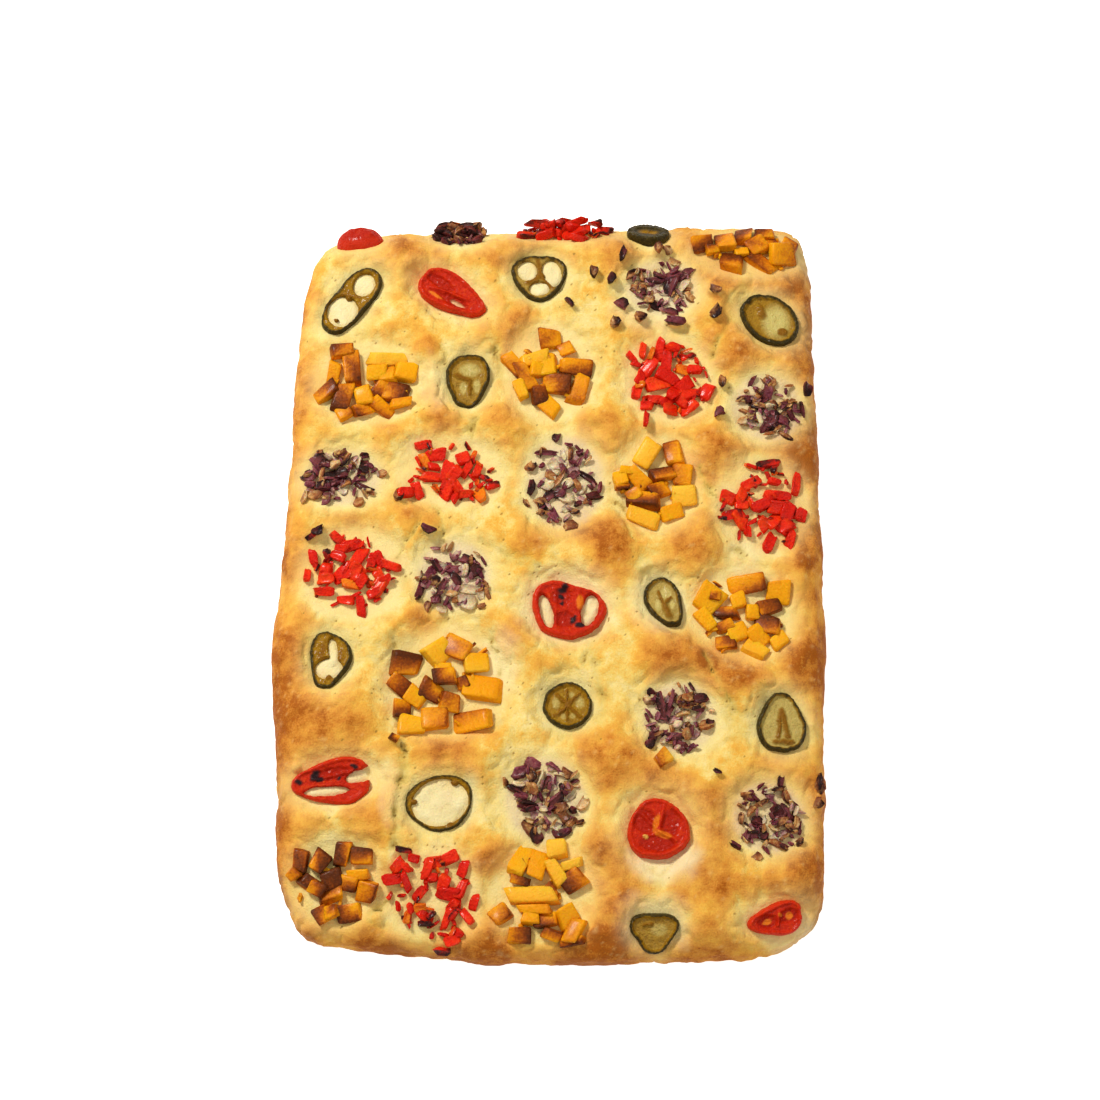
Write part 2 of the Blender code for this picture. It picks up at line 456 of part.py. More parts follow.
def crust_frame(x, y, reach):
    """A matrix that lays a topping on the crust: its origin on the surface, its Z along the normal."""
    here = Vector((x, y, crust_height(x, y)))
    right = Vector((2 * reach, 0, crust_height(x + reach, y) - crust_height(x - reach, y)))
    far = Vector((0, 2 * reach, crust_height(x, y + reach) - crust_height(x, y - reach)))
    up = right.cross(far).normalized()
    side = (right - up * right.dot(up)).normalized()
    turned = Matrix((side, up.cross(side), up)).transposed()
    return Matrix.Translation(here) @ turned.to_4x4()


def clear_scene():
    for obj in list(bpy.data.objects):
        bpy.data.objects.remove(obj)


def new_collection(name):
    made = bpy.data.collections.new(name)
    bpy.context.scene.collection.children.link(made)
    return made


def new_material(kind):
    red, green, blue, roughness = COLOURS[kind]
    made = bpy.data.materials.new(kind)
    made.use_nodes = True
    shader = made.node_tree.nodes["Principled BSDF"]
    shader.inputs["Base Color"].default_value = (red, green, blue, 1)
    shader.inputs["Roughness"].default_value = roughness
    shader.inputs["Metallic"].default_value = 0.0
    made.diffuse_color = (red, green, blue, 1)
    return made


def object_of(name, mesh, collection):
    made = bpy.data.objects.new(name, mesh)
    collection.objects.link(made)
    return made


def mesh_of(name, bm):
    made = bpy.data.meshes.new(name)
    bm.to_mesh(made)
    bm.free()
    return made


def grid_place(index, count, half):
    """Where a grid line lies across the bread: close together over the shoulder, even between."""
    steps = len(SHOULDER_STEPS)
    from_edge = min(index, count - index)
    if from_edge < steps:
        inset = SHOULDER_STEPS[from_edge]
    else:
        inner = half - SHOULDER_STEPS[-1]
        inset = SHOULDER_STEPS[-1] + (from_edge - steps + 1) * 2 * inner / (count - 2 * (steps - 1))
    return half - inset if index * 2 > count else inset - half


def make_bread(collection):
    """The bread: a grid shaped to the outline and the crust's relief, its rim drawn down to a flat sole."""
    bm = bmesh.new()
    bmesh.ops.create_grid(bm, x_segments=GRID_COLUMNS, y_segments=GRID_ROWS, size=1.0)
    for vert in bm.verts:
        x = grid_place(round((vert.co.x + 1) / 2 * GRID_COLUMNS), GRID_COLUMNS, HALF_WIDTH)
        y = grid_place(round((vert.co.y + 1) / 2 * GRID_ROWS), GRID_ROWS, HALF_LENGTH)
        edge_share = max(abs(x) / HALF_WIDTH, abs(y) / HALF_LENGTH)
        if edge_share > 0:
            box_radius = math.hypot(x, y) / edge_share
            pull = rim_radius(math.atan2(y, x)) / box_radius - 1
            scale = 1 + pull * smooth_step(RIM_PULL_START, 1.0, edge_share)
            x, y = x * scale, y * scale
        vert.co = (x, y, crust_height(x, y))
    rim = [edge for edge in bm.edges if edge.is_boundary]
    for vert in {vert for edge in rim for vert in edge.verts}:
        vert.co.z = WAIST_HEIGHT
    for height, inset in ((HEEL_HEIGHT, HEEL_INSET), (0.0, SOLE_INSET - HEEL_INSET)):
        made = bmesh.ops.extrude_edge_only(bm, edges=rim)["geom"]
        rim = [item for item in made if isinstance(item, bmesh.types.BMEdge) and item.is_boundary]
        for vert in {vert for edge in rim for vert in edge.verts}:
            vert.co.x *= 1 - inset / HALF_WIDTH
            vert.co.y *= 1 - inset / HALF_LENGTH
            vert.co.z = height
    bmesh.ops.contextual_create(bm, geom=rim)
    bmesh.ops.dissolve_limit(bm, angle_limit=math.radians(FLAT_ANGLE), verts=bm.verts, edges=bm.edges)
    bmesh.ops.triangulate(bm, faces=[face for face in bm.faces if len(face.verts) > 3])
    bmesh.ops.recalc_face_normals(bm, faces=bm.faces)
    bread = object_of("bread", mesh_of("bread", bm), collection)
    bread.data.shade_smooth()
    return bread


def make_seat_cutter(bread, collection):
    """The bread grown a little: what it cuts off a topping leaves the gap between the two."""
    bm = bmesh.new()
    bm.from_mesh(bread.data)
    bm.normal_update()
    grown = [vert.co + vert.normal * SEAT_GAP for vert in bm.verts]
    for vert, place in zip(bm.verts, grown):
        vert.co = place
    cutter = object_of("seat_cutter", mesh_of("seat_cutter", bm), collection)
    cutter.hide_render = True
    cutter.display_type = "WIRE"
    return cutter


def apply_boolean(obj, operation, other=None, group=None, solver="EXACT"):
    """Joins or cuts, and puts the result in the object's own mesh."""
    modifier = obj.modifiers.new(operation.title(), "BOOLEAN")
    modifier.operation = operation
    modifier.solver = solver
    if group:
        modifier.operand_type = "COLLECTION"
        modifier.collection = group
    else:
        modifier.object = other
    bpy.context.view_layer.update()
    graph = bpy.context.evaluated_depsgraph_get()
    result = bpy.data.meshes.new_from_object(obj.evaluated_get(graph))
    obj.modifiers.clear()
    obj.data = result


def islands(bm):
    """The bodies of a mesh, each as a set of its vertices."""
    left = set(bm.verts)
    while left:
        body, edge_of_body = set(), [left.pop()]
        while edge_of_body:
            vert = edge_of_body.pop()
            body.add(vert)
            for edge in vert.link_edges:
                other = edge.other_vert(vert)
                if other in left:
                    left.discard(other)
                    edge_of_body.append(other)
        yield body


def tidy_mesh(obj):
    """Keeps the largest body and joins the facets that lie in one plane."""
    bm = bmesh.new()
    bm.from_mesh(obj.data)
    bodies = sorted(islands(bm), key=len)
    scraps = [vert for body in bodies[:-1] for vert in body]
    bmesh.ops.delete(bm, geom=scraps, context="VERTS")
    bmesh.ops.dissolve_limit(bm, angle_limit=math.radians(FLAT_ANGLE), verts=bm.verts, edges=bm.edges)
    bmesh.ops.triangulate(bm, faces=bm.faces)
    bm.to_mesh(obj.data)
    bm.free()


def seat(obj, cutter, solver="EXACT"):
    """Cuts a topping's underside to the crust that it lies on."""
    apply_boolean(obj, "DIFFERENCE", other=cutter, solver=solver)
    tidy_mesh(obj)


def heap_pieces(name):
    """The dice of one heap: each with its place, sides, turn, lean, and lift off the crust."""
    heap, cut = HEAPS[name], CUTS[kind_of(name)]
    pieces = []
    for x, y, length, width, turn in DICE[name]:
        draw = random.Random("%.1f %.1f" % (x, y))
        place = (heap["at"][0] + x * MM, heap["at"][1] + y * MM)
        crowd = sum(1 for other in pieces if math.dist(place, other["at"]) < CROWD_REACH)
        thickness = cut["thickness"] * draw.uniform(1 - PIECE_SPREAD, 1 + PIECE_SPREAD)
        pieces.append(
            dict(
                at=place,
                sides=(length * MM, width * MM, thickness),
                turn=turn,
                lean=(draw.gauss(0, cut["lean"]), draw.gauss(0, cut["lean"])),
                taper=[draw.uniform(-PIECE_TAPER, PIECE_TAPER) for _ in range(4)],
                lift=min(crowd, 2) * cut["thickness"] * CROWD_LIFT,
            )
        )
    return pieces


def piece_matrix(piece):
    """Lays a piece on the crust at its own turn and lean, a little sunk in."""
    x, y = piece["at"]
    rise = piece["sides"][2] * (0.5 - PIECE_SINK) + piece["lift"]
    lean_x, lean_y, turn = (math.radians(angle) for angle in (*piece["lean"], piece["turn"]))
    lean = Matrix.Rotation(lean_x, 4, "X") @ Matrix.Rotation(lean_y, 4, "Y")
    lifted = Matrix.Translation((0, 0, rise)) @ Matrix.Rotation(turn, 4, "Z")
    return crust_frame(x, y, piece["sides"][1]) @ lifted @ lean


def make_piece(piece, collection):
    """One diced piece: a box with its top drawn askew."""
    bm = bmesh.new()
    bmesh.ops.create_cube(bm, size=1.0)
    length, width, thickness = piece["sides"]
    tilt_x, tilt_y, squeeze, skew = piece["taper"]
    for vert in bm.verts:
        if vert.co.z > 0:
            vert.co.x += tilt_x
            vert.co.y += tilt_y
        vert.co.y *= 1 + squeeze * math.copysign(1, vert.co.x)
        vert.co.x += skew * vert.co.y
        vert.co = (vert.co.x * length, vert.co.y * width, vert.co.z * thickness)
    bm.transform(piece_matrix(piece))
    return object_of("piece", mesh_of("piece", bm), collection)


def make_core(name, pieces, collection):
    """The low mound that a heap's dice stand in: a hull round the places where they lie."""
    core = CUTS[kind_of(name)]["core"]
    middle = HEAPS[name]["at"]
    bm = bmesh.new()
    for piece in pieces:
        x, y = (m + (p - m) * CORE_REACH for m, p in zip(middle, piece["at"]))
        for lift in (core, -CORE_DEPTH):
            bmesh.ops.create_vert(bm, co=(x, y, crust_height(x, y) + lift))
    hull = bmesh.ops.convex_hull(bm, input=bm.verts)
    bmesh.ops.delete(bm, geom=hull["geom_interior"], context="VERTS")
    bmesh.ops.recalc_face_normals(bm, faces=bm.faces)
    return object_of(name, mesh_of(name, bm), collection)


def make_heap(name, collection, cutter):
    """One heap of diced vegetable: its largest dice fused to the core, seated on the crust."""
    pieces = heap_pieces(name)
    core = make_core(name, pieces, collection)
    dice = new_collection("dice")
    for piece in pieces:
        make_piece(piece, dice)
    apply_boolean(core, "UNION", group=dice, solver="MANIFOLD")
    for obj in list(dice.objects):
        bpy.data.objects.remove(obj)
    bpy.data.collections.remove(dice)
    seat(core, cutter, solver="MANIFOLD")
    return core


def ring_points(centre, half, turn, sides, corner=0.0, aim=0.0, pinch=0.0):
    """Points round an ellipse that may be pulled to three corners and pinched across its waist."""
    made = []
    for step in range(sides):
        angle = 2 * math.pi * step / sides
        shape = 1 + corner * math.cos(3 * (angle + math.radians(turn - aim)))
        shape -= pinch * math.sin(angle) ** 8
        x, y = half[0] * math.cos(angle) * shape, half[1] * math.sin(angle) * shape
        c, s = math.cos(math.radians(turn)), math.sin(math.radians(turn))
        made.append((centre[0] + x * c - y * s, centre[1] + x * s + y * c))
    return made


def make_plate(name, rings, low, high, collection):
    """A flat outline with holes, as a filled curve extruded from low to high, made a mesh."""
    curve = bpy.data.curves.new(name, "CURVE")
    curve.dimensions = "2D"
    curve.fill_mode = "BOTH"
    curve.extrude = (high - low) / 2
    for ring in rings:
        spline = curve.splines.new("POLY")
        spline.points.add(len(ring) - 1)
        for point, (x, y) in zip(spline.points, ring):
            point.co = (x, y, 0, 1)
        spline.use_cyclic_u = True
    drawn = object_of(name + "_drawn", curve, collection)
    bpy.context.view_layer.update()
    graph = bpy.context.evaluated_depsgraph_get()
    mesh = bpy.data.meshes.new_from_object(drawn.evaluated_get(graph))
    bpy.data.objects.remove(drawn)
    bm = bmesh.new()
    bm.from_mesh(mesh)
    bmesh.ops.remove_doubles(bm, verts=bm.verts, dist=WELD)
    bmesh.ops.translate(bm, verts=bm.verts, vec=(0, 0, (high + low) / 2))
    bmesh.ops.recalc_face_normals(bm, faces=bm.faces)
    bm.to_mesh(mesh)
    bm.free()
    return object_of(name, mesh, collection)


def make_dome(name, cut, collection):
    """A cut half that lies skin side up."""
    bm = bmesh.new()
    bmesh.ops.create_uvsphere(bm, u_segments=DOME_SIDES, v_segments=DOME_RINGS, radius=1.0)
    bmesh.ops.scale(bm, verts=bm.verts, vec=(*cut["half"], cut["thick"]))
    bmesh.ops.rotate(bm, verts=bm.verts, matrix=Matrix.Rotation(math.radians(cut["turn"]), 3, "Z"))
    return object_of(name, mesh_of(name, bm), collection)


def make_slice(name, collection, cutter):
    """One slice of jalapeno or tomato: a wall with its windows, over a floor of flesh where it has one."""
    cut = SLICES[name]
    if "windows" not in cut:
        made = make_dome(name, cut, collection)
        made.data.transform(crust_frame(*cut["at"], min(cut["half"])))
        seat(made, cutter)
        return made
    turn = cut["turn"]
    c, s = math.cos(math.radians(turn)), math.sin(math.radians(turn))
    pull = [cut.get(key, 0) for key in ("corner", "aim", "pinch")]
    outer = ring_points((0, 0), cut["half"], turn, SLICE_SIDES, *pull)
    rings = [outer]
    for x, y, length, width, skew in cut["windows"]:
        rings.append(ring_points((x * c - y * s, x * s + y * c), (length, width), turn + skew, WINDOW_SIDES))
    made = make_plate(name, rings, -SLICE_SUNK, cut["thick"], collection)
    if "floor" in cut:
        inner = [(x * FLESH_INSET, y * FLESH_INSET) for x, y in outer]
        flesh = make_plate(name + "_flesh", [inner], -FLESH_SUNK, cut["floor"], collection)
        apply_boolean(made, "UNION", other=flesh)
        bpy.data.objects.remove(flesh)
    made.data.transform(crust_frame(*cut["at"], min(cut["half"])))
    seat(made, cutter)
    return made


def fuse_scraps(bread):
    """Joins the stray scraps to the crust."""
    scraps = new_collection("scraps")
    for x, y, length, width, turn in SCRAPS:
        sides = (length, width, SCRAP_THICKNESS)
        piece = dict(at=(x, y), sides=sides, turn=turn, lean=(0, 0), lift=-SCRAP_SINK, taper=SCRAP_TAPER)
        make_piece(piece, scraps)
    apply_boolean(bread, "UNION", group=scraps)
    for obj in list(scraps.objects):
        bpy.data.objects.remove(obj)
    bpy.data.collections.remove(scraps)


def main():
    clear_scene()
    food = new_collection("focaccia")
    helpers = new_collection("cutters")
    materials = {kind: new_material(kind) for kind in COLOURS}
    bread = make_bread(food)
    cutter = make_seat_cutter(bread, helpers)
    for name in HEAPS:
        make_heap(name, food, cutter).data.materials.append(materials[kind_of(name)])
    for name in SLICES:
        make_slice(name, food, cutter).data.materials.append(materials[kind_of(name)])
    fuse_scraps(bread)
    bread.data.materials.clear()
    bread.data.materials.append(materials["bread"])
    bpy.data.objects.remove(cutter)


main()
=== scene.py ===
# Sheet focaccia with roasted vegetables: the looks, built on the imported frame

import math
import random

import bpy
import numpy as np
from mathutils import Matrix, Vector, noise
from mathutils.bvhtree import BVHTree
from mathutils.kdtree import KDTree


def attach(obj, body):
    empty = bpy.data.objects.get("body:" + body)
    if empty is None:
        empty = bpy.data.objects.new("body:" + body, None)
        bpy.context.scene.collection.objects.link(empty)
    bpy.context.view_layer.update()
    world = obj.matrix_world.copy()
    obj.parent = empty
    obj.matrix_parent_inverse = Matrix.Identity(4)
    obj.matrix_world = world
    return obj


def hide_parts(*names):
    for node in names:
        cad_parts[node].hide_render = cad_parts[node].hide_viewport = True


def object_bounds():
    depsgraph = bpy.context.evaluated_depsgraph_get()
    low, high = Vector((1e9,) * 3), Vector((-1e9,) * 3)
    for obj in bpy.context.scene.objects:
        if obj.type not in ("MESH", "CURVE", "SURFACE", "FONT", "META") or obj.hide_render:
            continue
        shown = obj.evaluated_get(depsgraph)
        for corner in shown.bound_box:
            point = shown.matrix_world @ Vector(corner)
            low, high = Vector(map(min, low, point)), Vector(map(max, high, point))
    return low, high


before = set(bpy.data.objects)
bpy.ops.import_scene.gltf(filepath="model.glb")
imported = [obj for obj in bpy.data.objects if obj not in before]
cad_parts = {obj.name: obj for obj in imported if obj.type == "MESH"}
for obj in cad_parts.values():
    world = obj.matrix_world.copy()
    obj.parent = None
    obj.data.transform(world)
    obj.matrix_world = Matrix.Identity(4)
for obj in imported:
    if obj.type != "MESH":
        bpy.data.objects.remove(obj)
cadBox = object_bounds()
mm = 0.001


# Small tools

def deselect():
    bpy.ops.object.select_all(action="DESELECT")


def selectOnly(piece):
    deselect()
    piece.select_set(True)
    bpy.context.view_layer.objects.active = piece


def applyModifier(piece, kind, **values):
    modifier = piece.modifiers.new(kind.title(), kind)
    for key, value in values.items():
        setattr(modifier, key, value)
    selectOnly(piece)
    bpy.ops.object.modifier_apply(modifier=modifier.name)


def vectorsOf(items, field):
    flat = np.empty(len(items) * 3)
    items.foreach_get(field, flat)
    return flat.reshape(-1, 3)


def pointsOf(piece):
    return vectorsOf(piece.data.vertices, "co")


def movePoints(piece, points):
    piece.data.vertices.foreach_set("co", points.astype(np.float32).ravel())
    piece.data.update()


def setMask(piece, name, values):
    layer = piece.data.attributes.new(name, "FLOAT", "POINT")
    layer.data.foreach_set("value", np.clip(values, 0, 1).astype(np.float32))


def seedOf(name):
    return sum(map(ord, name))


def smooth(low, high, value):
    t = np.clip((value - low) / (high - low), 0, 1)
    return t * t * (3 - 2 * t)


def noiseAt(points, size, seed):
    shift = Vector((seed, -seed, seed * 0.5))
    return np.array([noise.noise(Vector(p) / size + shift) for p in points])


def turned(x, y, angle):
    c, s = math.cos(angle), math.sin(angle)
    return x * c + y * s, y * c - x * s


def ellipseMask(x, y, at, half, soft, turn=0):
    u, v = turned(x - at[0], y - at[1], math.radians(turn))
    return 1 - smooth(1 - soft, 1 + soft, np.hypot(u / half[0], v / half[1]))


def strokeMask(x, y, start, end, width, soft):
    ax, ay = end[0] - start[0], end[1] - start[1]
    t = np.clip(((x - start[0]) * ax + (y - start[1]) * ay) / (ax * ax + ay * ay), 0, 1)
    away = np.hypot(x - start[0] - t * ax, y - start[1] - t * ay)
    return 1 - smooth(width * (0.5 - soft / 2), width * (0.5 + soft / 2), away)


def union(x, masks):
    return np.max([np.zeros(len(x)), *masks], axis=0)


def ellipses(x, y, spots, soft):
    return union(x, [ellipseMask(x, y, at, half, soft, *turn) for at, half, *turn in spots])


def strokes(x, y, runs, widen, soft):
    return union(x, [strokeMask(x, y, start, end, width * widen, soft) for start, end, width in runs])


def finishPiece(piece, material, slot, *nodes):
    piece.data.materials.clear()
    piece.data.materials.append(material)
    piece.data.shade_smooth()
    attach(piece, "root")
    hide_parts(*nodes)


# Camera, lights and floor

photoView = dict(aim=(0.0004, 0.0094, 0.026), tilt=18, away=1.0, focal=2315 / 1100, sensor=36, clip=0.05)
studio = dict(
    key=dict(at=(-0.75, 0.77, 1.25), size=0.34, power=22.0, colour=(1.0, 0.97, 0.91)),
    fill=dict(at=(0.9, -0.6, 1.1), size=1.4, power=5, colour=(1.0, 0.97, 0.90)),
    sky=0.40, skyTone=(1, 0.955, 0.87, 1),
)
floorLook = dict(size=8, drop=0.2 * mm, tone=(0.93, 0.93, 0.925, 1), glow=0.20, seenGlow=0.60)


def makeCamera():
    tilt = math.radians(photoView["tilt"])
    away = Vector((0, -math.sin(tilt), math.cos(tilt))) * photoView["away"]
    bpy.ops.object.camera_add(location=Vector(photoView["aim"]) + away, rotation=(tilt, 0, 0))
    camera = bpy.context.object
    camera.data.sensor_width = photoView["sensor"]
    camera.data.lens = photoView["focal"] * photoView["sensor"]
    camera.data.clip_start = photoView["clip"]
    bpy.context.scene.camera = camera


def makeLights():
    for name in ("key", "fill"):
        light = studio[name]
        aim = Vector(light["at"]).to_track_quat("Z", "Y").to_euler()
        bpy.ops.object.light_add(type="AREA", location=light["at"], rotation=aim)
        lamp = bpy.context.object.data
        lamp.shape = "DISK"
        lamp.size = light["size"]
        lamp.energy = light["power"]
        lamp.color = light["colour"]
    world = bpy.data.worlds.new("softRoom")
    world.use_nodes = True
    setInputs(world.node_tree, "Background", {"Color": studio["skyTone"], "Strength": studio["sky"]})
    bpy.context.scene.world = world
    bpy.context.scene.view_settings.view_transform = "Standard"


def makeFloor():
    deselect()
    bpy.ops.mesh.primitive_plane_add(size=floorLook["size"], location=(0, 0, -floorLook["drop"]))
    floor = bpy.context.object
    floor.name = "floor"
    material, tree = newMaterial("paleFloor")
    seen = addNode(tree, "ShaderNodeLightPath").outputs["Is Camera Ray"]
    setInputs(tree, "Principled BSDF", {
        "Base Color": floorLook["tone"], "Roughness": 0.85, "Emission Color": (1, 1, 1, 1),
        # glow is what the sides of the loaf catch
        "Emission Strength": mathNode(tree, "MULTIPLY_ADD", seen, floorLook["seenGlow"], floorLook["glow"]),
    })
    floor.data.materials.append(material)


# Node helpers

def setInputs(tree, name, values):
    node = tree.nodes[name]
    for key, value in values.items():
        if isinstance(value, bpy.types.NodeSocket):
            tree.links.new(value, node.inputs[key])
        else:
            node.inputs[key].default_value = value


def addNode(tree, kind, values=None, **settings):
    node = tree.nodes.new(kind)
    for key, value in settings.items():
        setattr(node, key, value)
    setInputs(tree, node.name, values or {})
    return node


def newMaterial(name):
    material = bpy.data.materials.new(name)
    material.use_nodes = True
    return material, material.node_tree


def placeNode(tree):
    return addNode(tree, "ShaderNodeTexCoord").outputs["Object"]


def maskNode(tree, name):
    return addNode(tree, "ShaderNodeAttribute", attribute_name=name).outputs["Fac"]


def mathNode(tree, operation, *values, clamp=False):
    values = dict(enumerate(values))
    return addNode(tree, "ShaderNodeMath", values, operation=operation, use_clamp=clamp).outputs[0]


def mixNode(tree, share, *tones):
    a, b = (tone if isinstance(tone, bpy.types.NodeSocket) else (*tone, 1) for tone in tones)
    return addNode(tree, "ShaderNodeMix", {0: share, 6: a, 7: b}, data_type="RGBA").outputs[2]


def tintNode(tree, colour, mask, share, tone):
    return mixNode(tree, mathNode(tree, "MULTIPLY", maskNode(tree, mask), share), colour, tone)


def rampNode(tree, value, stops):
    node = addNode(tree, "ShaderNodeValToRGB", {"Fac": value})
    elements = node.color_ramp.elements
    while len(elements) < len(stops):
        elements.new(0.5)
    for element, (place, colour) in zip(elements, stops):
        element.position = place
        element.color = (*colour, 1)
    return node.outputs["Color"]


def bumpNode(tree, height, distance, strength=1.0):
    values = {"Height": height, "Distance": distance, "Strength": strength}
    return addNode(tree, "ShaderNodeBump", values).outputs["Normal"]


# Grain: two sizes of noise as one value round 0 and one bump height, shared by every finish

def makeGrainGroup():
    group = bpy.data.node_groups.new("grain", "ShaderNodeTree")
    face = group.interface
    face.new_socket("Place", in_out="INPUT", socket_type="NodeSocketVector")
    for name in ("Coarse Scale", "Fine Scale", "Strength"):
        face.new_socket(name, in_out="INPUT", socket_type="NodeSocketFloat")
    for name in ("Value", "Height"):
        face.new_socket(name, in_out="OUTPUT", socket_type="NodeSocketFloat")
    inside = addNode(group, "NodeGroupInput").outputs
    sizes = []
    for scale, detail in (("Coarse Scale", 4.0), ("Fine Scale", 3.0)):
        values = {"Vector": inside["Place"], "Scale": inside[scale], "Detail": detail}
        sizes.append(addNode(group, "ShaderNodeTexNoise", values).outputs["Fac"])
    both = mathNode(group, "ADD", *sizes)
    value = mathNode(group, "MULTIPLY", mathNode(group, "SUBTRACT", both, 1.0), inside["Strength"])
    addNode(group, "NodeGroupOutput", {"Value": value, "Height": both})
    return group


grainGroup = makeGrainGroup()


def grainNode(tree, coarse, fine, strength):
    values = {"Place": placeNode(tree), "Coarse Scale": coarse, "Fine Scale": fine, "Strength": strength}
    node = addNode(tree, "ShaderNodeGroup", values, node_tree=grainGroup)
    return node.outputs["Value"], node.outputs["Height"]


def moistFinish(tree, colour, height, relief, coat, soft):
    setInputs(tree, "Principled BSDF", {
        "Base Color": colour, "Normal": bumpNode(tree, height, relief),
        "Roughness": 0.42, "Specular IOR Level": 0.10, "Coat Weight": coat, "Coat Roughness": 0.16,
        "Subsurface Weight": soft, "Subsurface Radius": (0.003, 0.0010, 0.0004), "Subsurface Scale": 1.0,
    })


# The toppings' places, as the solids have them: middle and half sizes of each heap

heaps = {
    "red_onion_1": dict(at=(-0.0410, 0.1598), half=(0.0122, 0.0060), dark=0.15, tall=1.5, levels=2),
    "red_pepper_1": dict(at=(0.0070, 0.1620), half=(0.0210, 0.0052), dark=0.22, tall=1.4, levels=2),
    "yellow_pepper_1": dict(at=(0.0900, 0.1505), half=(0.0225, 0.0110)),
    "red_onion_2": dict(at=(0.0510, 0.1340), half=(0.0165, 0.0140)),
    "yellow_pepper_2": dict(at=(-0.0815, 0.0880), half=(0.0212, 0.0181)),
    "yellow_pepper_3": dict(at=(0.0000, 0.0925), half=(0.0188, 0.0212)),
    "red_pepper_2": dict(at=(0.0535, 0.0895), half=(0.0190, 0.0190)),
    "red_onion_3": dict(at=(0.0960, 0.0760), half=(0.0165, 0.0165)),
    "red_onion_4": dict(at=(-0.0900, 0.0430), half=(0.0175, 0.0137)),
    "red_pepper_3": dict(at=(-0.0440, 0.0460), half=(0.0215, 0.0153)),
    "red_onion_5": dict(at=(0.0070, 0.0410), half=(0.0175, 0.0225), pale=0.30),
    "yellow_pepper_4": dict(at=(0.0465, 0.0400), half=(0.0175, 0.0203)),
    "red_pepper_4": dict(at=(0.0925, 0.0300), half=(0.0193, 0.0215)),
    "red_pepper_5": dict(at=(-0.0845, -0.0010), half=(0.0208, 0.0198)),
    "red_onion_6": dict(at=(-0.0410, -0.0015), half=(0.0163, 0.0165), pale=0.26),
    "yellow_pepper_5": dict(at=(0.0820, -0.0195), half=(0.0210, 0.0195)),
    "yellow_pepper_6": dict(at=(-0.0435, -0.0490), half=(0.0248, 0.0226)),
    "red_onion_7": dict(at=(0.0550, -0.0650), half=(0.0162, 0.0160)),
    "red_onion_8": dict(at=(-0.0015, -0.1000), half=(0.0176, 0.0186)),
    "red_onion_9": dict(at=(0.0915, -0.1075), half=(0.0160, 0.0162)),
    "yellow_pepper_7": dict(at=(-0.0890, -0.1340), half=(0.0175, 0.0170), dark=0.15),
    "red_pepper_6": dict(at=(-0.0485, -0.1410), half=(0.0192, 0.0185)),
    "yellow_pepper_8": dict(at=(-0.0020, -0.1390), half=(0.0207, 0.0195)),
}

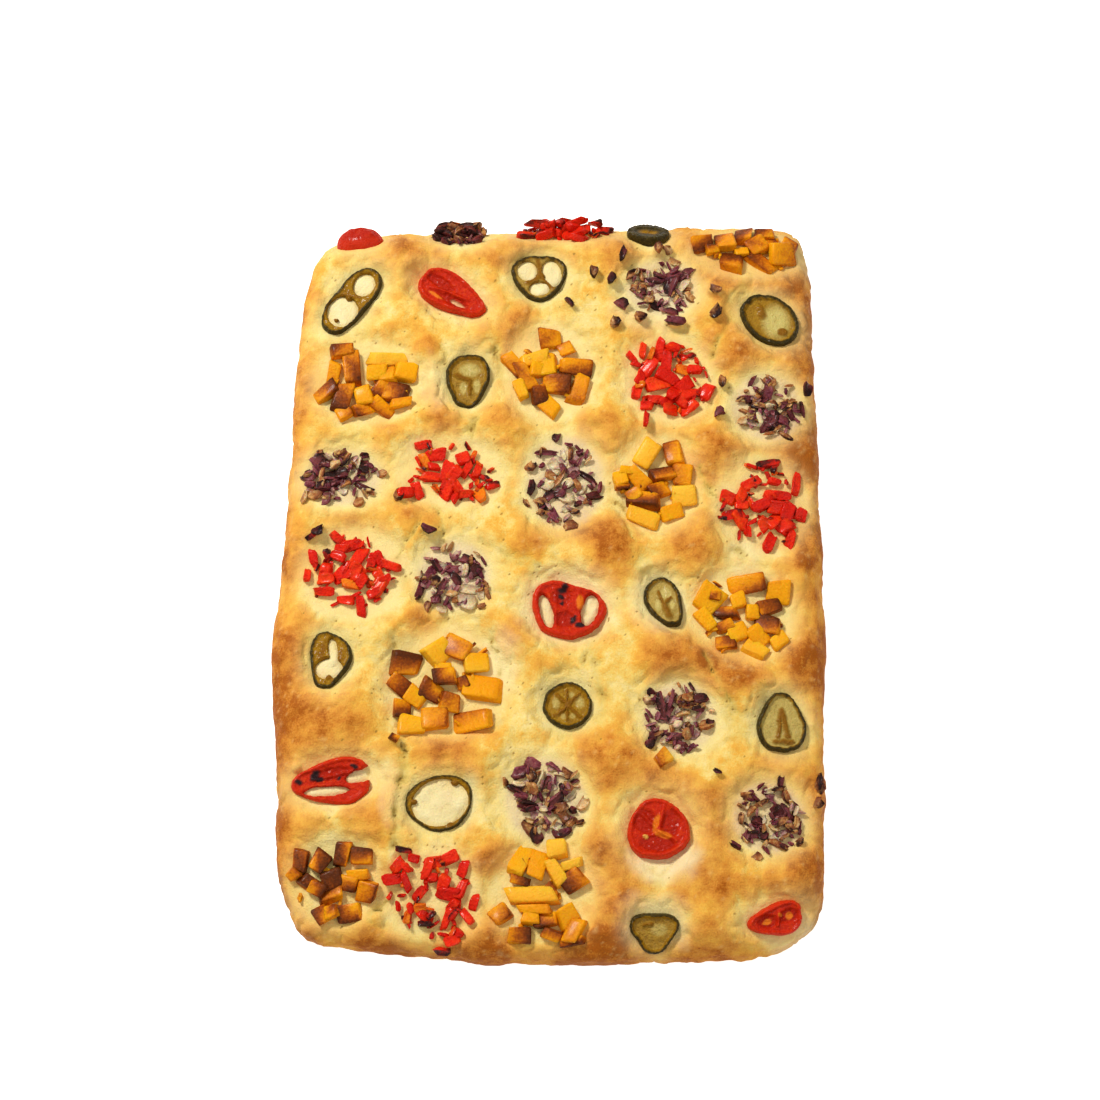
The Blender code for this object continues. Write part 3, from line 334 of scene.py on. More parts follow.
# The dice of each heap in the order that they lie on one another: x and y from its middle, length and
# width in millimetres, turn, how toasted in hundredths, and a tone where it isn't the usual one:
# p purple, b brown, t tan, w whitish, d dark, o orange
dice = {
    "yellow_pepper_2": (
        (-11.1, 14.4, 8.9, 5.3, 10, 70), (-14.2, 4.2, 9.8, 4.9, 80, 35), (-17.3, -5.6, 10.7, 5.3, 35, 55),
        (-10.7, -8.4, 11.5, 7.1, 75, 80), (8.9, 11.7, 15.1, 5.8, 0, 5), (-5.8, 6.1, 13.3, 6.7, 97, 55),
        (5.3, 4.7, 8.0, 6.2, 5, 12), (16.9, 5.1, 8.9, 8.0, -5, 8), (10.7, 2.8, 6.2, 6.2, 0, 30),
        (-0.4, -6.1, 7.1, 8.0, 10, 20), (6.2, -3.3, 7.1, 6.2, 60, 60), (14.7, -5.1, 9.8, 8.0, -10, 75),
        (-1.3, -12.6, 8.0, 5.3, 20, 50), (7.1, -11.7, 9.8, 5.3, -35, 40), (-8.9, -14.9, 6.2, 5.3, 30, 35),
        (15.5, -10.7, 8.0, 3.6, 10, 30),
    ),
    "yellow_pepper_3": (
        (1.1, 16.1, 8.9, 8.0, 0, 50), (-7.3, 6.3, 11.5, 5.3, 15, 12), (0.2, 4.4, 6.2, 10.7, 0, 15),
        (-15.3, 3.5, 10.7, 6.2, -50, 50), (-10.0, -3.0, 12.4, 5.3, -62, 45), (11.3, 2.6, 12.4, 7.1, -8, 65),
        (7.8, 11.9, 6.2, 5.3, 20, 35), (-12.2, -8.2, 8.0, 4.9, -70, 8), (-4.7, -10.0, 8.0, 6.2, -80, 85),
        (12.2, -8.6, 11.5, 7.1, 70, 40), (3.3, -5.8, 11.5, 8.0, -5, 65), (0.2, -15.2, 9.8, 7.1, -45, 18),
        (-5.6, 1.2, 5.3, 6.2, 0, 20),
    ),
    "yellow_pepper_4": (
        (-3.5, 15.2, 11.4, 7.9, 60, 5), (8.7, 13.8, 7.0, 9.6, 5, 50), (-12.7, 6.0, 6.1, 4.4, 0, 15),
        (-15.7, 1.8, 5.2, 6.1, 20, 15), (-14.4, -1.8, 6.1, 2.2, 5, 75), (-9.6, -4.6, 6.1, 5.2, 30, 35),
        (11.8, 4.1, 8.7, 7.9, 85, 40), (12.2, -4.6, 9.6, 8.7, 0, 10), (-5.2, -15.2, 13.1, 7.0, -20, 12),
        (6.1, -12.9, 8.7, 6.1, 20, 20), (1.7, -2.8, 7.9, 6.1, 20, 65), (-5.2, -8.3, 13.1, 6.1, -15, 65),
        (-7.0, 1.8, 10.5, 6.1, -50, 20), (2.2, 4.6, 9.6, 5.2, 10, 80),
    ),
    "yellow_pepper_5": (
        (-13.9, 6.3, 11.2, 10.3, 55, 12), (-14.8, -1.8, 9.4, 6.0, -55, 8), (-10.9, 7.7, 4.3, 3.4, 0, 50),
        (3.2, 14.0, 14.6, 7.7, 10, 50), (16.1, 9.9, 9.4, 9.4, -10, 20), (-0.6, 6.3, 6.0, 6.0, 20, 15),
        (5.4, 0.9, 5.1, 6.0, 0, 15), (-7.1, -5.4, 6.9, 4.3, 20, 50), (-1.5, -8.1, 6.9, 7.7, -70, 15),
        (5.4, -15.8, 9.4, 6.0, -35, 12), (6.6, -9.0, 8.6, 6.9, -50, 15), (16.5, -12.6, 6.9, 5.1, 40, 10),
        (11.8, -3.6, 10.3, 7.7, -20, 85), (12.7, 3.6, 9.4, 6.0, 15, 80), (-5.4, 0.5, 8.6, 4.3, -5, 85),
        (-5.8, -12.6, 7.7, 5.1, 5, 80),
    ),
    "yellow_pepper_6": (
        (-4.3, 13.0, 10.2, 9.4, 40, 5), (3.4, 15.6, 11.1, 8.5, -25, 45), (12.3, 8.0, 9.4, 7.7, 5, 10),
        (-1.7, 5.8, 6.8, 4.3, 0, 15), (-17.9, 8.5, 11.1, 9.4, -3, 70), (-20.0, -1.3, 9.4, 6.8, -40, 65),
        (-12.3, -6.7, 7.7, 6.8, -40, 20), (17.0, -3.1, 14.5, 9.4, -6, 20),
        (-14.9, -19.2, 10.2, 7.7, -3, 12), (-18.7, -11.6, 6.8, 6.8, 3, 80), (-4.7, -16.5, 10.2, 8.5, 5, 35),
        (11.5, -17.0, 16.2, 8.5, 3, 45), (0.9, -8.5, 7.7, 7.7, 80, 55), (-7.2, -3.1, 8.5, 7.7, -30, 80),
        (6.8, -0.4, 5.1, 5.1, 15, 85), (-0.4, 2.7, 8.5, 6.8, 8, 85),
    ),
    "yellow_pepper_7": (
        (-13.5, 9.6, 8.3, 5.0, 85, 65), (-6.0, 9.1, 8.3, 6.6, 60, 90), (3.1, 10.4, 9.1, 5.8, 75, 90),
        (11.4, 10.9, 8.3, 6.6, -5, 55), (-16.4, 3.0, 5.0, 4.1, 30, 30), (-10.6, -0.4, 7.5, 5.0, -35, 75),
        (-6.8, -2.6, 6.6, 5.0, -20, 50), (6.0, -0.9, 5.8, 7.5, 70, 45), (10.1, 2.6, 8.3, 4.1, 5, 15),
        (13.5, -3.9, 7.5, 7.5, -10, 30), (-1.4, -5.7, 9.1, 5.8, 15, 65), (-0.6, 1.3, 8.3, 7.5, 20, 95),
        (-4.8, -13.1, 6.6, 5.8, -60, 55), (0.2, -12.2, 5.0, 5.0, 10, 35), (7.7, -13.1, 8.3, 7.5, 8, 80),
    ),
    "yellow_pepper_8": (
        (-9.3, 13.2, 12.4, 6.6, 60, 12), (-2.3, 12.4, 11.6, 6.6, 75, 20), (6.0, 17.6, 7.4, 6.6, 10, 10),
        (4.7, 7.6, 10.7, 5.0, -60, 10), (12.4, 12.4, 7.4, 3.7, 15, 12), (-9.3, 5.4, 7.4, 3.3, -15, 75),
        (12.2, 5.4, 9.1, 8.3, 35, 90), (-5.2, -1.5, 18.2, 6.2, 0, 12), (-4.3, -6.3, 12.4, 3.3, 0, 25),
        (1.9, -0.2, 5.8, 6.6, -50, 50), (-17.6, -8.5, 6.6, 7.4, -60, 50, "w"),
        (-5.2, -11.1, 4.1, 6.6, 80, 20), (9.3, -10.6, 8.3, 7.4, -60, 20), (1.0, -10.6, 8.3, 5.8, 5, 80),
        (-10.5, -17.6, 8.3, 6.2, -3, 70), (3.1, -16.7, 7.4, 4.1, -20, 55), (12.6, -15.4, 9.9, 5.8, 65, 35),
        (12.6, -19.4, 8.3, 3.3, 5, 70),
    ),
    "yellow_pepper_1": (
        (-20.6, 4.0, 9.0, 7.2, 15, 75), (-11.1, 5.9, 8.1, 9.0, 0, 50), (-2.9, 8.8, 7.2, 7.2, -3, 80),
        (9.7, 5.5, 4.5, 6.3, 20, 50), (7.5, 9.3, 8.1, 4.5, 0, 70), (18.3, 3.6, 5.4, 7.2, 60, 60),
        (4.7, 3.1, 7.2, 8.1, -60, 45), (-3.8, 0.2, 5.4, 3.6, 0, 15), (-16.5, 0.7, 5.4, 3.6, 10, 50),
        (-7.5, -5.9, 9.0, 7.2, -20, 80), (14.7, -0.7, 10.8, 9.9, 5, 40), (5.2, -5.0, 12.7, 5.4, -38, 60),
    ),
    "red_pepper_1": (
        (-12.9, 3.8, 6.3, 2.7, 80, 15), (-7.9, 1.4, 9.1, 4.5, -65, 10), (-16.6, -1.9, 10.0, 2.7, 5, 30),
        (-5.2, 0.0, 8.2, 3.6, -40, 40), (0.7, 0.4, 6.3, 3.2, 10, 20), (7.5, 1.0, 7.3, 3.6, -10, 5),
        (3.9, -2.9, 10.0, 4.1, -5, 5), (6.1, -5.2, 6.3, 3.2, 0, 10), (-8.8, -2.9, 7.3, 3.6, 0, 20),
        (17.6, 1.0, 6.3, 2.7, -15, 40),
    ),
    "red_pepper_2": (
        (-12.0, 14.0, 6.2, 2.7, 80, 10), (-16.9, 10.3, 5.3, 2.7, -50, 30), (-15.1, 7.0, 3.6, 2.2, -20, 10),
        (-4.0, 13.1, 8.9, 3.6, 75, 5), (1.3, 14.9, 5.3, 3.6, -20, 5), (-8.0, 12.1, 5.3, 2.2, 70, 30, "o"),
        (-1.8, 7.5, 9.8, 4.4, 80, 0), (-9.8, 4.7, 8.0, 5.3, 50, 5), (5.8, 4.7, 6.2, 4.0, -15, 20, "o"),
        (11.1, 4.2, 5.8, 3.6, 0, 10), (-6.2, -1.9, 8.9, 5.8, 10, 5), (-12.9, 0.0, 6.2, 4.4, 60, 10),
        (-0.9, 0.5, 8.9, 5.3, -30, 5), (6.2, -2.8, 7.1, 5.3, 40, 25), (-15.1, -6.1, 5.8, 4.0, 80, 10),
        (-13.3, -3.7, 4.0, 2.2, 10, 10, "o"), (1.8, -6.1, 8.9, 5.3, 60, 15), (8.9, -7.5, 9.8, 4.0, 25, 10),
        (16.4, -6.5, 6.2, 4.9, 65, 5), (-7.1, -9.8, 7.1, 3.6, -5, 5), (-0.9, -10.7, 7.1, 4.4, 40, 15),
        (-10.2, -13.5, 4.4, 3.6, 0, 0), (0.4, -15.4, 7.1, 4.0, 0, 15), (8.0, -14.0, 8.0, 4.4, 25, 5),
        (4.4, -11.2, 5.3, 3.6, -40, 10),
    ),
    "red_pepper_3": (
        (-11.6, 12.4, 6.6, 3.5, 15, 30), (-6.4, 7.8, 8.3, 5.3, 10, 10),
        (-10.7, 4.6, 6.1, 3.1, -60, 10, "o"), (-6.8, -3.2, 7.9, 3.5, -5, 10), (-6.4, 1.4, 4.4, 2.6, 0, 20),
        (-0.2, 0.0, 8.8, 5.3, 80, 0), (5.9, 6.0, 6.1, 5.3, -70, 15), (8.1, 0.9, 7.0, 3.1, 60, 20),
        (2.8, -1.8, 7.0, 4.4, 50, 5), (-0.2, -8.3, 8.8, 5.3, 60, 10), (3.3, -7.4, 6.1, 3.5, -60, 15),
        (12.5, -0.5, 5.3, 3.5, 70, 5), (-18.2, -11.5, 6.6, 3.9, 10, 15), (-12.9, -9.7, 6.6, 3.9, -65, 10),
        (6.8, -11.0, 7.0, 3.1, 5, 15), (3.3, -13.3, 4.4, 2.2, 60, 20),
        (13.8, -10.6, 7.4, 5.3, -60, 10, "o"), (19.5, -6.9, 5.3, 2.6, 25, 50),
    ),
    "red_pepper_4": (
        (3.3, 19.2, 8.7, 3.5, 5, 80), (5.9, 16.9, 4.4, 2.2, 70, 70), (-5.5, 10.1, 7.4, 3.9, 30, 10),
        (-3.3, 12.4, 3.5, 1.3, -50, 90), (15.5, 10.5, 8.7, 3.5, 80, 20), (5.5, 11.0, 4.8, 2.6, -10, 10),
        (-14.2, 3.2, 6.5, 5.2, -20, 10), (-8.5, 4.6, 7.8, 3.9, 60, 10), (-4.6, 0.5, 5.2, 2.2, -70, 10),
        (4.6, 5.0, 6.1, 3.9, -10, 5), (9.8, 4.6, 5.7, 3.9, 0, 20), (1.1, 0.5, 8.7, 4.4, 25, 0),
        (6.8, -0.9, 7.0, 5.2, 0, 5), (11.1, -1.8, 7.8, 4.8, 70, 30), (-8.9, -0.5, 5.2, 3.5, 0, 5),
        (17.2, -3.7, 5.2, 4.8, 80, 20), (-13.3, -4.1, 7.0, 3.9, 15, 40), (-17.7, -6.0, 3.9, 1.7, 0, 90),
        (-9.4, -6.9, 7.8, 5.2, -50, 0), (-6.8, -11.4, 5.2, 3.1, 85, 10), (0.7, -8.7, 6.1, 3.9, -65, 20),
        (5.0, -7.3, 7.0, 4.8, 50, 5), (10.2, -9.2, 6.1, 5.2, 30, 15), (2.8, -16.9, 7.8, 4.4, 65, 10),
        (11.6, -15.6, 7.4, 3.5, 75, 5),
    ),
    "red_pepper_5": (
        (-17.9, 17.3, 4.8, 2.2, 35, 100), (-17.5, 7.3, 5.6, 3.9, -80, 15), (-19.7, -0.5, 5.2, 3.0, 85, 10),
        (-7.1, 16.3, 6.0, 3.9, -40, 40), (-1.1, 12.7, 7.3, 4.3, 15, 5), (-5.0, 11.4, 5.2, 3.0, -5, 10),
        (-11.0, 8.2, 4.8, 3.0, -70, 80), (-6.3, 7.7, 5.6, 3.9, -30, 20), (1.5, 6.8, 8.6, 5.2, 60, 5),
        (1.9, 2.3, 6.0, 4.3, -40, 10), (-11.4, 0.9, 6.9, 4.3, 75, 0), (-11.9, -2.7, 6.0, 3.9, 10, 5),
        (-4.5, 0.0, 8.6, 6.5, 30, 5), (1.1, 0.0, 6.9, 3.9, 70, 15), (-0.2, -5.0, 6.9, 3.5, -10, 10, "o"),
        (4.1, -3.2, 5.2, 3.5, 60, 5), (-12.7, -8.2, 7.8, 3.9, 0, 5), (-2.4, -11.8, 6.0, 3.5, 0, 20),
        (3.7, -15.0, 7.8, 3.5, -82, 5), (8.0, 4.5, 7.8, 3.5, 75, 0), (11.0, 5.9, 6.9, 3.5, -60, 10),
        (16.2, 3.6, 8.6, 3.5, -20, 10), (11.0, -0.9, 6.9, 3.9, -60, 10), (11.9, -5.4, 7.8, 5.2, 60, 10),
        (8.9, -9.1, 5.2, 3.9, 20, 5), (14.0, -3.2, 4.8, 3.5, 40, 15),
    ),
    "red_pepper_6": (
        (-12.4, 20.0, 5.8, 2.1, -5, 80), (-7.4, 16.5, 4.5, 3.3, -10, 5), (-14.0, 13.9, 5.8, 4.1, 50, 10),
        (-10.3, 12.2, 4.1, 2.5, -50, 10), (-15.3, 8.2, 8.3, 4.1, 10, 30), (-10.3, 6.5, 7.4, 2.9, -65, 5),
        (2.1, 15.2, 8.3, 4.1, 10, 5), (7.0, 16.1, 5.8, 5.0, 20, 5), (-1.7, 12.2, 7.4, 3.7, 75, 5),
        (0.4, 8.2, 3.7, 3.3, 0, 10), (13.2, 12.2, 6.2, 3.7, 75, 10), (5.4, 6.1, 6.6, 4.1, 70, 0),
        (7.8, 2.2, 8.3, 5.0, -10, 5), (12.4, 4.3, 7.4, 3.7, 70, 10), (-5.0, 1.7, 5.8, 3.3, 50, 30),
        (-6.2, -1.3, 3.3, 1.2, 60, 80), (-8.3, -3.9, 3.7, 2.5, -60, 10),
        (-9.9, -7.4, 4.5, 2.5, 75, 20, "o"), (-4.1, -3.9, 5.0, 3.3, 0, 10, "o"),
        (-2.9, -7.4, 6.6, 3.7, -25, 30), (-2.9, -10.4, 5.4, 2.1, 0, 90), (0.0, -6.9, 3.7, 2.1, 40, 90),
        (8.7, -3.0, 5.8, 3.3, 60, 10), (6.2, -8.7, 8.3, 2.9, 68, 10), (9.5, -6.9, 4.1, 2.1, 50, 70),
        (14.5, -7.4, 6.6, 3.3, -50, 10), (17.8, -1.7, 5.4, 3.3, 80, 10), (10.7, -13.9, 5.8, 3.3, -30, 15),
        (8.7, -16.9, 5.8, 3.7, 20, 10), (5.4, -20.0, 5.8, 2.9, -10, 80),
    ),
    "red_onion_1": (
        (-8.4, 2.9, 7.2, 3.6, 10, 80, "d"), (-9.3, -1.0, 6.3, 3.2, -40, 90, "d"),
        (-5.7, -4.2, 4.5, 2.3, -35, 90, "d"), (-2.5, 3.6, 6.3, 2.7, 30, 60, "b"),
        (-2.9, 0.5, 6.3, 4.1, 0, 70, "b"), (3.9, 2.4, 7.2, 5.4, 0, 100, "d"),
        (1.6, -1.4, 6.3, 2.7, 0, 90, "d"), (8.8, 3.6, 6.3, 3.6, 40, 70, "b"),
        (7.0, 1.0, 5.4, 4.1, -30, 90, "d"), (8.2, -3.6, 5.4, 2.3, 10, 80, "d"),
        (0.2, -3.3, 5.4, 1.8, -5, 40, "b"), (11.2, 2.4, 3.6, 2.3, -50, 60, "b"),
    ),
    "red_onion_2": (
        (5.4, 12.5, 5.4, 2.7, -30, 30, "t"), (10.8, 6.4, 9.0, 3.2, 40, 60, "p"),
        (4.1, 5.4, 9.9, 4.1, 15, 50, "p"), (3.6, -0.2, 9.0, 5.4, 65, 70, "p"),
        (9.5, 0.7, 6.3, 3.2, 50, 30, "w"), (-4.5, 3.1, 9.9, 2.7, -5, 80, "d"),
        (-1.8, 5.4, 5.4, 2.3, -30, 90, "d"), (-11.3, -0.7, 6.3, 4.1, -10, 50, "b"),
        (-8.6, -2.6, 2.7, 3.6, 0, 80, "d"), (-3.6, -9.2, 7.2, 3.2, -40, 100, "d"),
        (3.6, -12.6, 6.3, 3.6, -20, 70, "p"), (-6.3, -6.4, 4.5, 3.2, -10, 30, "t"),
        (12.4, -5.4, 5.4, 3.2, -30, 30, "t"),
    ),
    "red_onion_3": (
        (-6.2, 12.1, 5.3, 1.8, 60, 60, "d"), (1.3, 13.0, 7.1, 4.4, -45, 50, "b"),
        (2.7, 9.3, 4.4, 3.5, 20, 30, "b"), (0.0, 5.6, 8.0, 5.3, 70, 60, "p"),
        (-4.0, 4.7, 4.4, 2.7, 60, 30, "b"), (-8.0, 3.7, 4.0, 3.1, 0, 80, "d"),
        (-4.0, 0.5, 6.2, 3.1, -20, 70, "b"), (0.9, 0.9, 5.3, 2.7, 10, 10, "w"),
        (7.5, 1.9, 6.2, 2.2, 30, 40, "t"), (11.5, 2.8, 4.4, 1.8, 30, 40, "b"),
        (-7.1, -2.8, 6.2, 2.7, 80, 30, "t"), (1.8, -4.7, 8.0, 6.2, 80, 80, "p"),
        (-0.9, -8.4, 7.1, 3.1, 70, 60, "p"), (-3.1, -5.6, 6.2, 2.2, -70, 30, "w"),
        (7.5, -2.8, 6.2, 2.2, 45, 80, "b"), (10.6, -4.2, 4.4, 2.2, -60, 80, "d"),
        (7.5, -7.0, 5.3, 3.5, -20, 50, "p"), (-10.2, -7.0, 5.3, 3.5, 10, 30, "t"),
        (1.3, -11.2, 4.4, 2.7, 80, 80, "d"), (8.4, -14.0, 6.2, 1.8, -30, 70, "b"),
        (3.5, 0.9, 4.4, 2.2, -50, 60, "b"), (15.6, -0.9, 7.1, 1.8, -80, 100, "d"),
    ),
    "red_onion_4": (
        (-10.7, 11.7, 3.5, 2.6, 80, 50, "b"), (-10.7, 7.1, 7.0, 6.1, -50, 60, "p"),
        (-6.8, 6.7, 5.3, 4.4, 0, 70, "p"), (-0.2, 10.8, 5.3, 3.9, -20, 50, "b"),
        (-3.7, 6.2, 4.4, 4.4, 0, 40, "t"), (1.1, 8.1, 6.1, 1.8, 50, 80, "b"),
        (9.0, 10.4, 3.5, 2.6, 0, 90, "d"), (9.0, 5.3, 7.9, 3.9, -85, 80, "d"),
        (6.8, 6.7, 5.3, 1.3, 80, 10, "w"), (-15.5, 0.7, 6.1, 5.3, -30, 70, "p"),
        (-14.2, -3.0, 4.4, 2.6, 0, 40, "p"), (-9.0, 2.1, 5.3, 1.8, 80, 40, "b"),
        (-5.0, -0.7, 7.9, 6.1, 10, 100, "d"), (-0.7, 1.6, 5.3, 5.3, 0, 90, "d"),
        (-5.9, -3.9, 9.6, 4.4, 5, 100, "d"), (1.1, -2.5, 5.3, 3.5, 0, 60, "b"),
        (-9.0, -2.1, 5.3, 2.6, 80, 50, "b"), (7.7, -0.7, 5.3, 2.6, 0, 30, "p"),
        (9.0, -4.4, 7.9, 2.2, -25, 90, "d"), (11.6, -6.7, 5.3, 2.2, -40, 40, "b"),
        (16.9, 1.6, 3.9, 3.1, 20, 40, "b"), (-12.5, -8.1, 6.1, 3.9, -10, 40, "b"),
        (-7.2, -9.9, 5.3, 3.9, 80, 50, "p"), (-16.4, -9.0, 5.3, 1.8, 70, 30, "t"),
        (6.8, -11.7, 4.4, 3.9, 70, 40, "b"),
    ),
    "red_onion_5": (
        (-3.9, 20.7, 3.9, 3.5, 80, 80, "d"), (-7.0, 13.8, 9.6, 2.2, -2, 50, "p"),
        (2.6, 13.3, 6.1, 1.8, 85, 60, "b"), (-14.9, 7.4, 6.1, 3.5, 60, 70, "b"),
        (-14.9, -1.8, 7.0, 3.1, 80, 100, "d"), (-4.4, 7.4, 5.3, 3.9, 0, 0, "w"),
        (-7.4, -0.9, 6.1, 6.1, 0, 10, "w"), (-6.1, 2.3, 5.3, 3.5, -20, 30, "b"),
        (-0.9, 6.4, 4.4, 2.6, -70, 50, "p"), (-2.6, 1.4, 8.8, 2.2, 55, 50, "b"),
        (3.5, 2.8, 5.3, 3.5, 40, 60, "p"), (10.1, 1.8, 7.9, 2.6, -30, 100, "d"),
        (1.3, -1.4, 5.3, 3.9, 40, 10, "w"), (5.3, -1.8, 4.4, 2.6, -60, 40, "b"),
        (-7.0, -6.9, 5.3, 3.9, 30, 80, "p"), (-3.1, -6.0, 6.1, 3.5, 10, 80, "p"),
        (-10.5, -10.1, 6.1, 4.8, -60, 80, "b"), (13.1, -6.4, 7.9, 3.5, 25, 90, "d"),
        (9.6, -9.2, 3.5, 2.2, 20, 50, "b"), (5.7, -10.1, 3.5, 2.6, 30, 90, "d"),
        (3.9, -13.8, 4.4, 2.2, -15, 80, "b"), (-17.0, -10.1, 3.9, 1.8, -70, 60, "b"),
        (-5.3, -14.7, 6.1, 3.5, -65, 30, "p"), (-4.4, -17.5, 4.4, 1.8, -40, 30, "p"),
        (-10.5, -14.7, 2.6, 2.6, 0, 60, "b"), (2.2, -20.7, 5.3, 3.9, 10, 50, "b"),
        (0.0, -7.4, 6.1, 4.4, 0, 10, "w"),
    ),
    "red_onion_6": (
        (-10.8, -0.7, 8.6, 4.3, 65, 30, "p"), (-7.8, 4.3, 6.0, 2.6, -55, 70, "p"),
        (-14.7, -6.1, 7.8, 3.0, 70, 80, "d"), (-15.6, -10.7, 3.5, 1.7, 50, 80, "d"),
        (-9.1, -2.5, 5.2, 4.3, 0, 90, "b"), (-0.4, 2.5, 6.9, 3.5, 10, 40, "p"),
        (4.8, 7.0, 6.0, 4.3, -30, 70, "p"), (8.6, 5.2, 5.2, 2.6, -60, 80, "d"),
        (4.8, 2.0, 5.2, 2.2, 80, 30, "w"), (9.5, 1.6, 5.2, 4.3, 40, 100, "d"),
        (0.9, -2.0, 6.0, 3.5, -50, 80, "d"), (-5.6, -7.0, 8.6, 2.6, 65, 70, "p"),
        (-2.2, -12.9, 5.2, 1.7, -55, 60, "p"), (-7.8, -11.6, 4.3, 3.5, 0, 60, "p"),
        (-0.9, -8.9, 4.3, 3.0, -20, 0, "t"), (1.3, -11.6, 3.5, 2.6, 0, 30, "b"),
        (-4.8, -15.7, 4.3, 2.6, 0, 0, "w"), (-11.2, -14.8, 4.3, 2.6, 60, 50, "b"),
        (6.0, -6.1, 7.8, 3.9, -5, 10, "w"), (5.2, -12.0, 6.9, 6.0, 0, 15, "w"),
        (12.1, -9.3, 5.2, 3.0, -80, 0, "w"), (13.4, -3.9, 6.0, 1.7, -50, 50, "b"),
        (15.1, -8.4, 5.2, 1.7, -75, 50, "b"), (12.5, -14.8, 3.5, 2.2, 20, 50, "b"),
    ),
    "red_onion_7": (
        (-11.6, 11.1, 4.2, 3.0, -50, 80, "d"), (-12.5, 8.0, 5.1, 3.8, 0, 50, "t"),
        (-7.8, 6.7, 8.5, 3.4, -80, 70, "p"), (-4.9, 2.7, 5.9, 3.8, 60, 80, "p"),
        (-3.2, 7.6, 7.6, 1.7, 75, 40, "p"), (1.5, 8.0, 5.1, 3.8, 0, 60, "b"),
        (5.3, 14.2, 5.1, 1.3, -55, 90, "d"), (4.4, 9.3, 5.9, 3.8, 20, 50, "b"),
        (9.5, 8.5, 5.9, 4.2, 10, 90, "d"), (4.4, 5.3, 8.5, 2.5, -5, 60, "b"),
        (8.2, 3.6, 5.1, 2.5, 0, 100, "d"), (1.5, 1.8, 5.1, 1.7, 10, 50, "t"),
        (-7.0, 0.0, 5.9, 2.1, -20, 60, "p"), (-0.6, -3.1, 3.4, 3.0, 0, 10, "w"),
        (5.7, -1.8, 5.1, 3.0, -60, 20, "w"), (11.2, -3.1, 5.9, 5.1, -10, 40, "b"),
        (12.9, -2.2, 2.5, 3.4, 80, 90, "d"), (-11.6, -7.6, 6.8, 3.4, 70, 80, "d"),
        (-12.5, -11.6, 4.2, 3.4, 20, 100, "d"), (-2.7, -8.0, 8.5, 3.8, -5, 60, "p"),
        (-0.2, -11.1, 7.6, 3.8, -20, 50, "p"), (3.2, -6.7, 4.2, 3.8, -60, 40, "b"),
        (-6.6, -9.3, 3.8, 2.5, 40, 30, "w"), (1.5, -13.4, 3.4, 2.1, 40, 40, "p"),
    ),
    "red_onion_8": (
        (-11.5, 11.9, 7.5, 5.0, 10, 50, "p"), (-4.8, 15.0, 5.9, 4.6, -20, 40, "p"),
        (-6.1, 10.1, 5.9, 4.2, -60, 80, "b"), (-1.9, 9.2, 6.7, 2.1, 70, 30, "w"),
        (-17.0, 7.5, 4.2, 2.1, -70, 70, "b"), (-13.2, 4.4, 5.9, 2.5, -20, 90, "d"),
        (-11.1, 6.6, 5.0, 2.1, 0, 30, "w"), (-6.1, 4.8, 6.7, 5.0, 0, 40, "b"),
        (-0.2, 6.6, 6.7, 1.7, 60, 70, "d"), (1.5, 4.0, 5.9, 1.7, 80, 50, "p"),
        (-10.3, 1.8, 5.0, 2.5, -10, 40, "p"), (-7.8, -1.8, 7.5, 3.4, -15, 90, "d"),
        (-5.7, -3.5, 5.9, 2.5, 5, 80, "d"), (-8.6, -4.4, 3.4, 1.7, 0, 80, "d"),
        (9.0, 11.4, 5.0, 3.8, -30, 70, "b"), (6.1, 10.6, 4.2, 1.7, -10, 30, "w"),
        (7.3, 4.8, 5.0, 2.5, -50, 70, "d"), (9.0, 5.3, 5.0, 3.4, -40, 30, "b"),
        (4.4, 0.0, 7.5, 4.2, 40, 80, "p"), (5.2, -3.1, 8.4, 3.8, 0, 60, "b"),
        (15.7, -1.8, 5.9, 3.8, 60, 40, "t"), (11.5, -4.4, 3.4, 2.5, 0, 80, "d"),
        (7.3, -7.0, 5.9, 3.8, -60, 50, "b"), (5.2, -11.4, 4.2, 3.4, -10, 20, "w"),
        (6.9, -14.1, 6.7, 3.4, 15, 70, "p"), (11.1, -9.2, 5.0, 1.7, 50, 50, "b"),
        (14.5, -9.7, 3.8, 1.7, 10, 70, "b"), (-7.3, -11.4, 6.7, 4.6, -55, 60, "b"),
        (-4.0, -15.0, 6.7, 5.0, -60, 80, "p"), (-0.6, -4.0, 3.4, 2.5, 0, 10, "w"),
    ),
    "red_onion_9": (
        (-8.2, 9.4, 5.0, 3.8, 10, 60, "b"), (-9.0, 5.5, 5.0, 2.5, 70, 40, "t"),
        (0.6, 11.6, 5.0, 2.5, 20, 30, "w"), (5.6, 15.6, 5.0, 2.5, 75, 80, "d"),
        (4.8, 12.1, 5.9, 1.7, 10, 80, "b"), (7.3, 9.0, 5.0, 2.5, -70, 60, "b"),
        (-3.1, 5.9, 6.7, 2.1, 30, 70, "b"), (-7.3, 2.4, 5.0, 2.1, 50, 50, "b"),
        (-11.5, -0.2, 4.2, 2.5, 80, 70, "b"), (-4.8, -1.5, 4.2, 3.8, 0, 100, "d"),
        (-5.2, -7.2, 8.4, 3.3, -5, 90, "d"), (-2.3, -8.1, 4.2, 3.3, 0, 100, "d"),
        (2.3, 2.4, 7.5, 3.3, 10, 80, "p"), (5.6, 2.4, 5.9, 4.2, 60, 70, "p"),
        (8.6, 1.1, 5.9, 2.9, -60, 60, "p"), (4.4, -2.0, 6.7, 3.3, 20, 70, "b"),
        (8.6, -3.7, 5.9, 2.9, -40, 60, "b"), (11.5, -1.5, 5.0, 2.1, 80, 40, "t"),
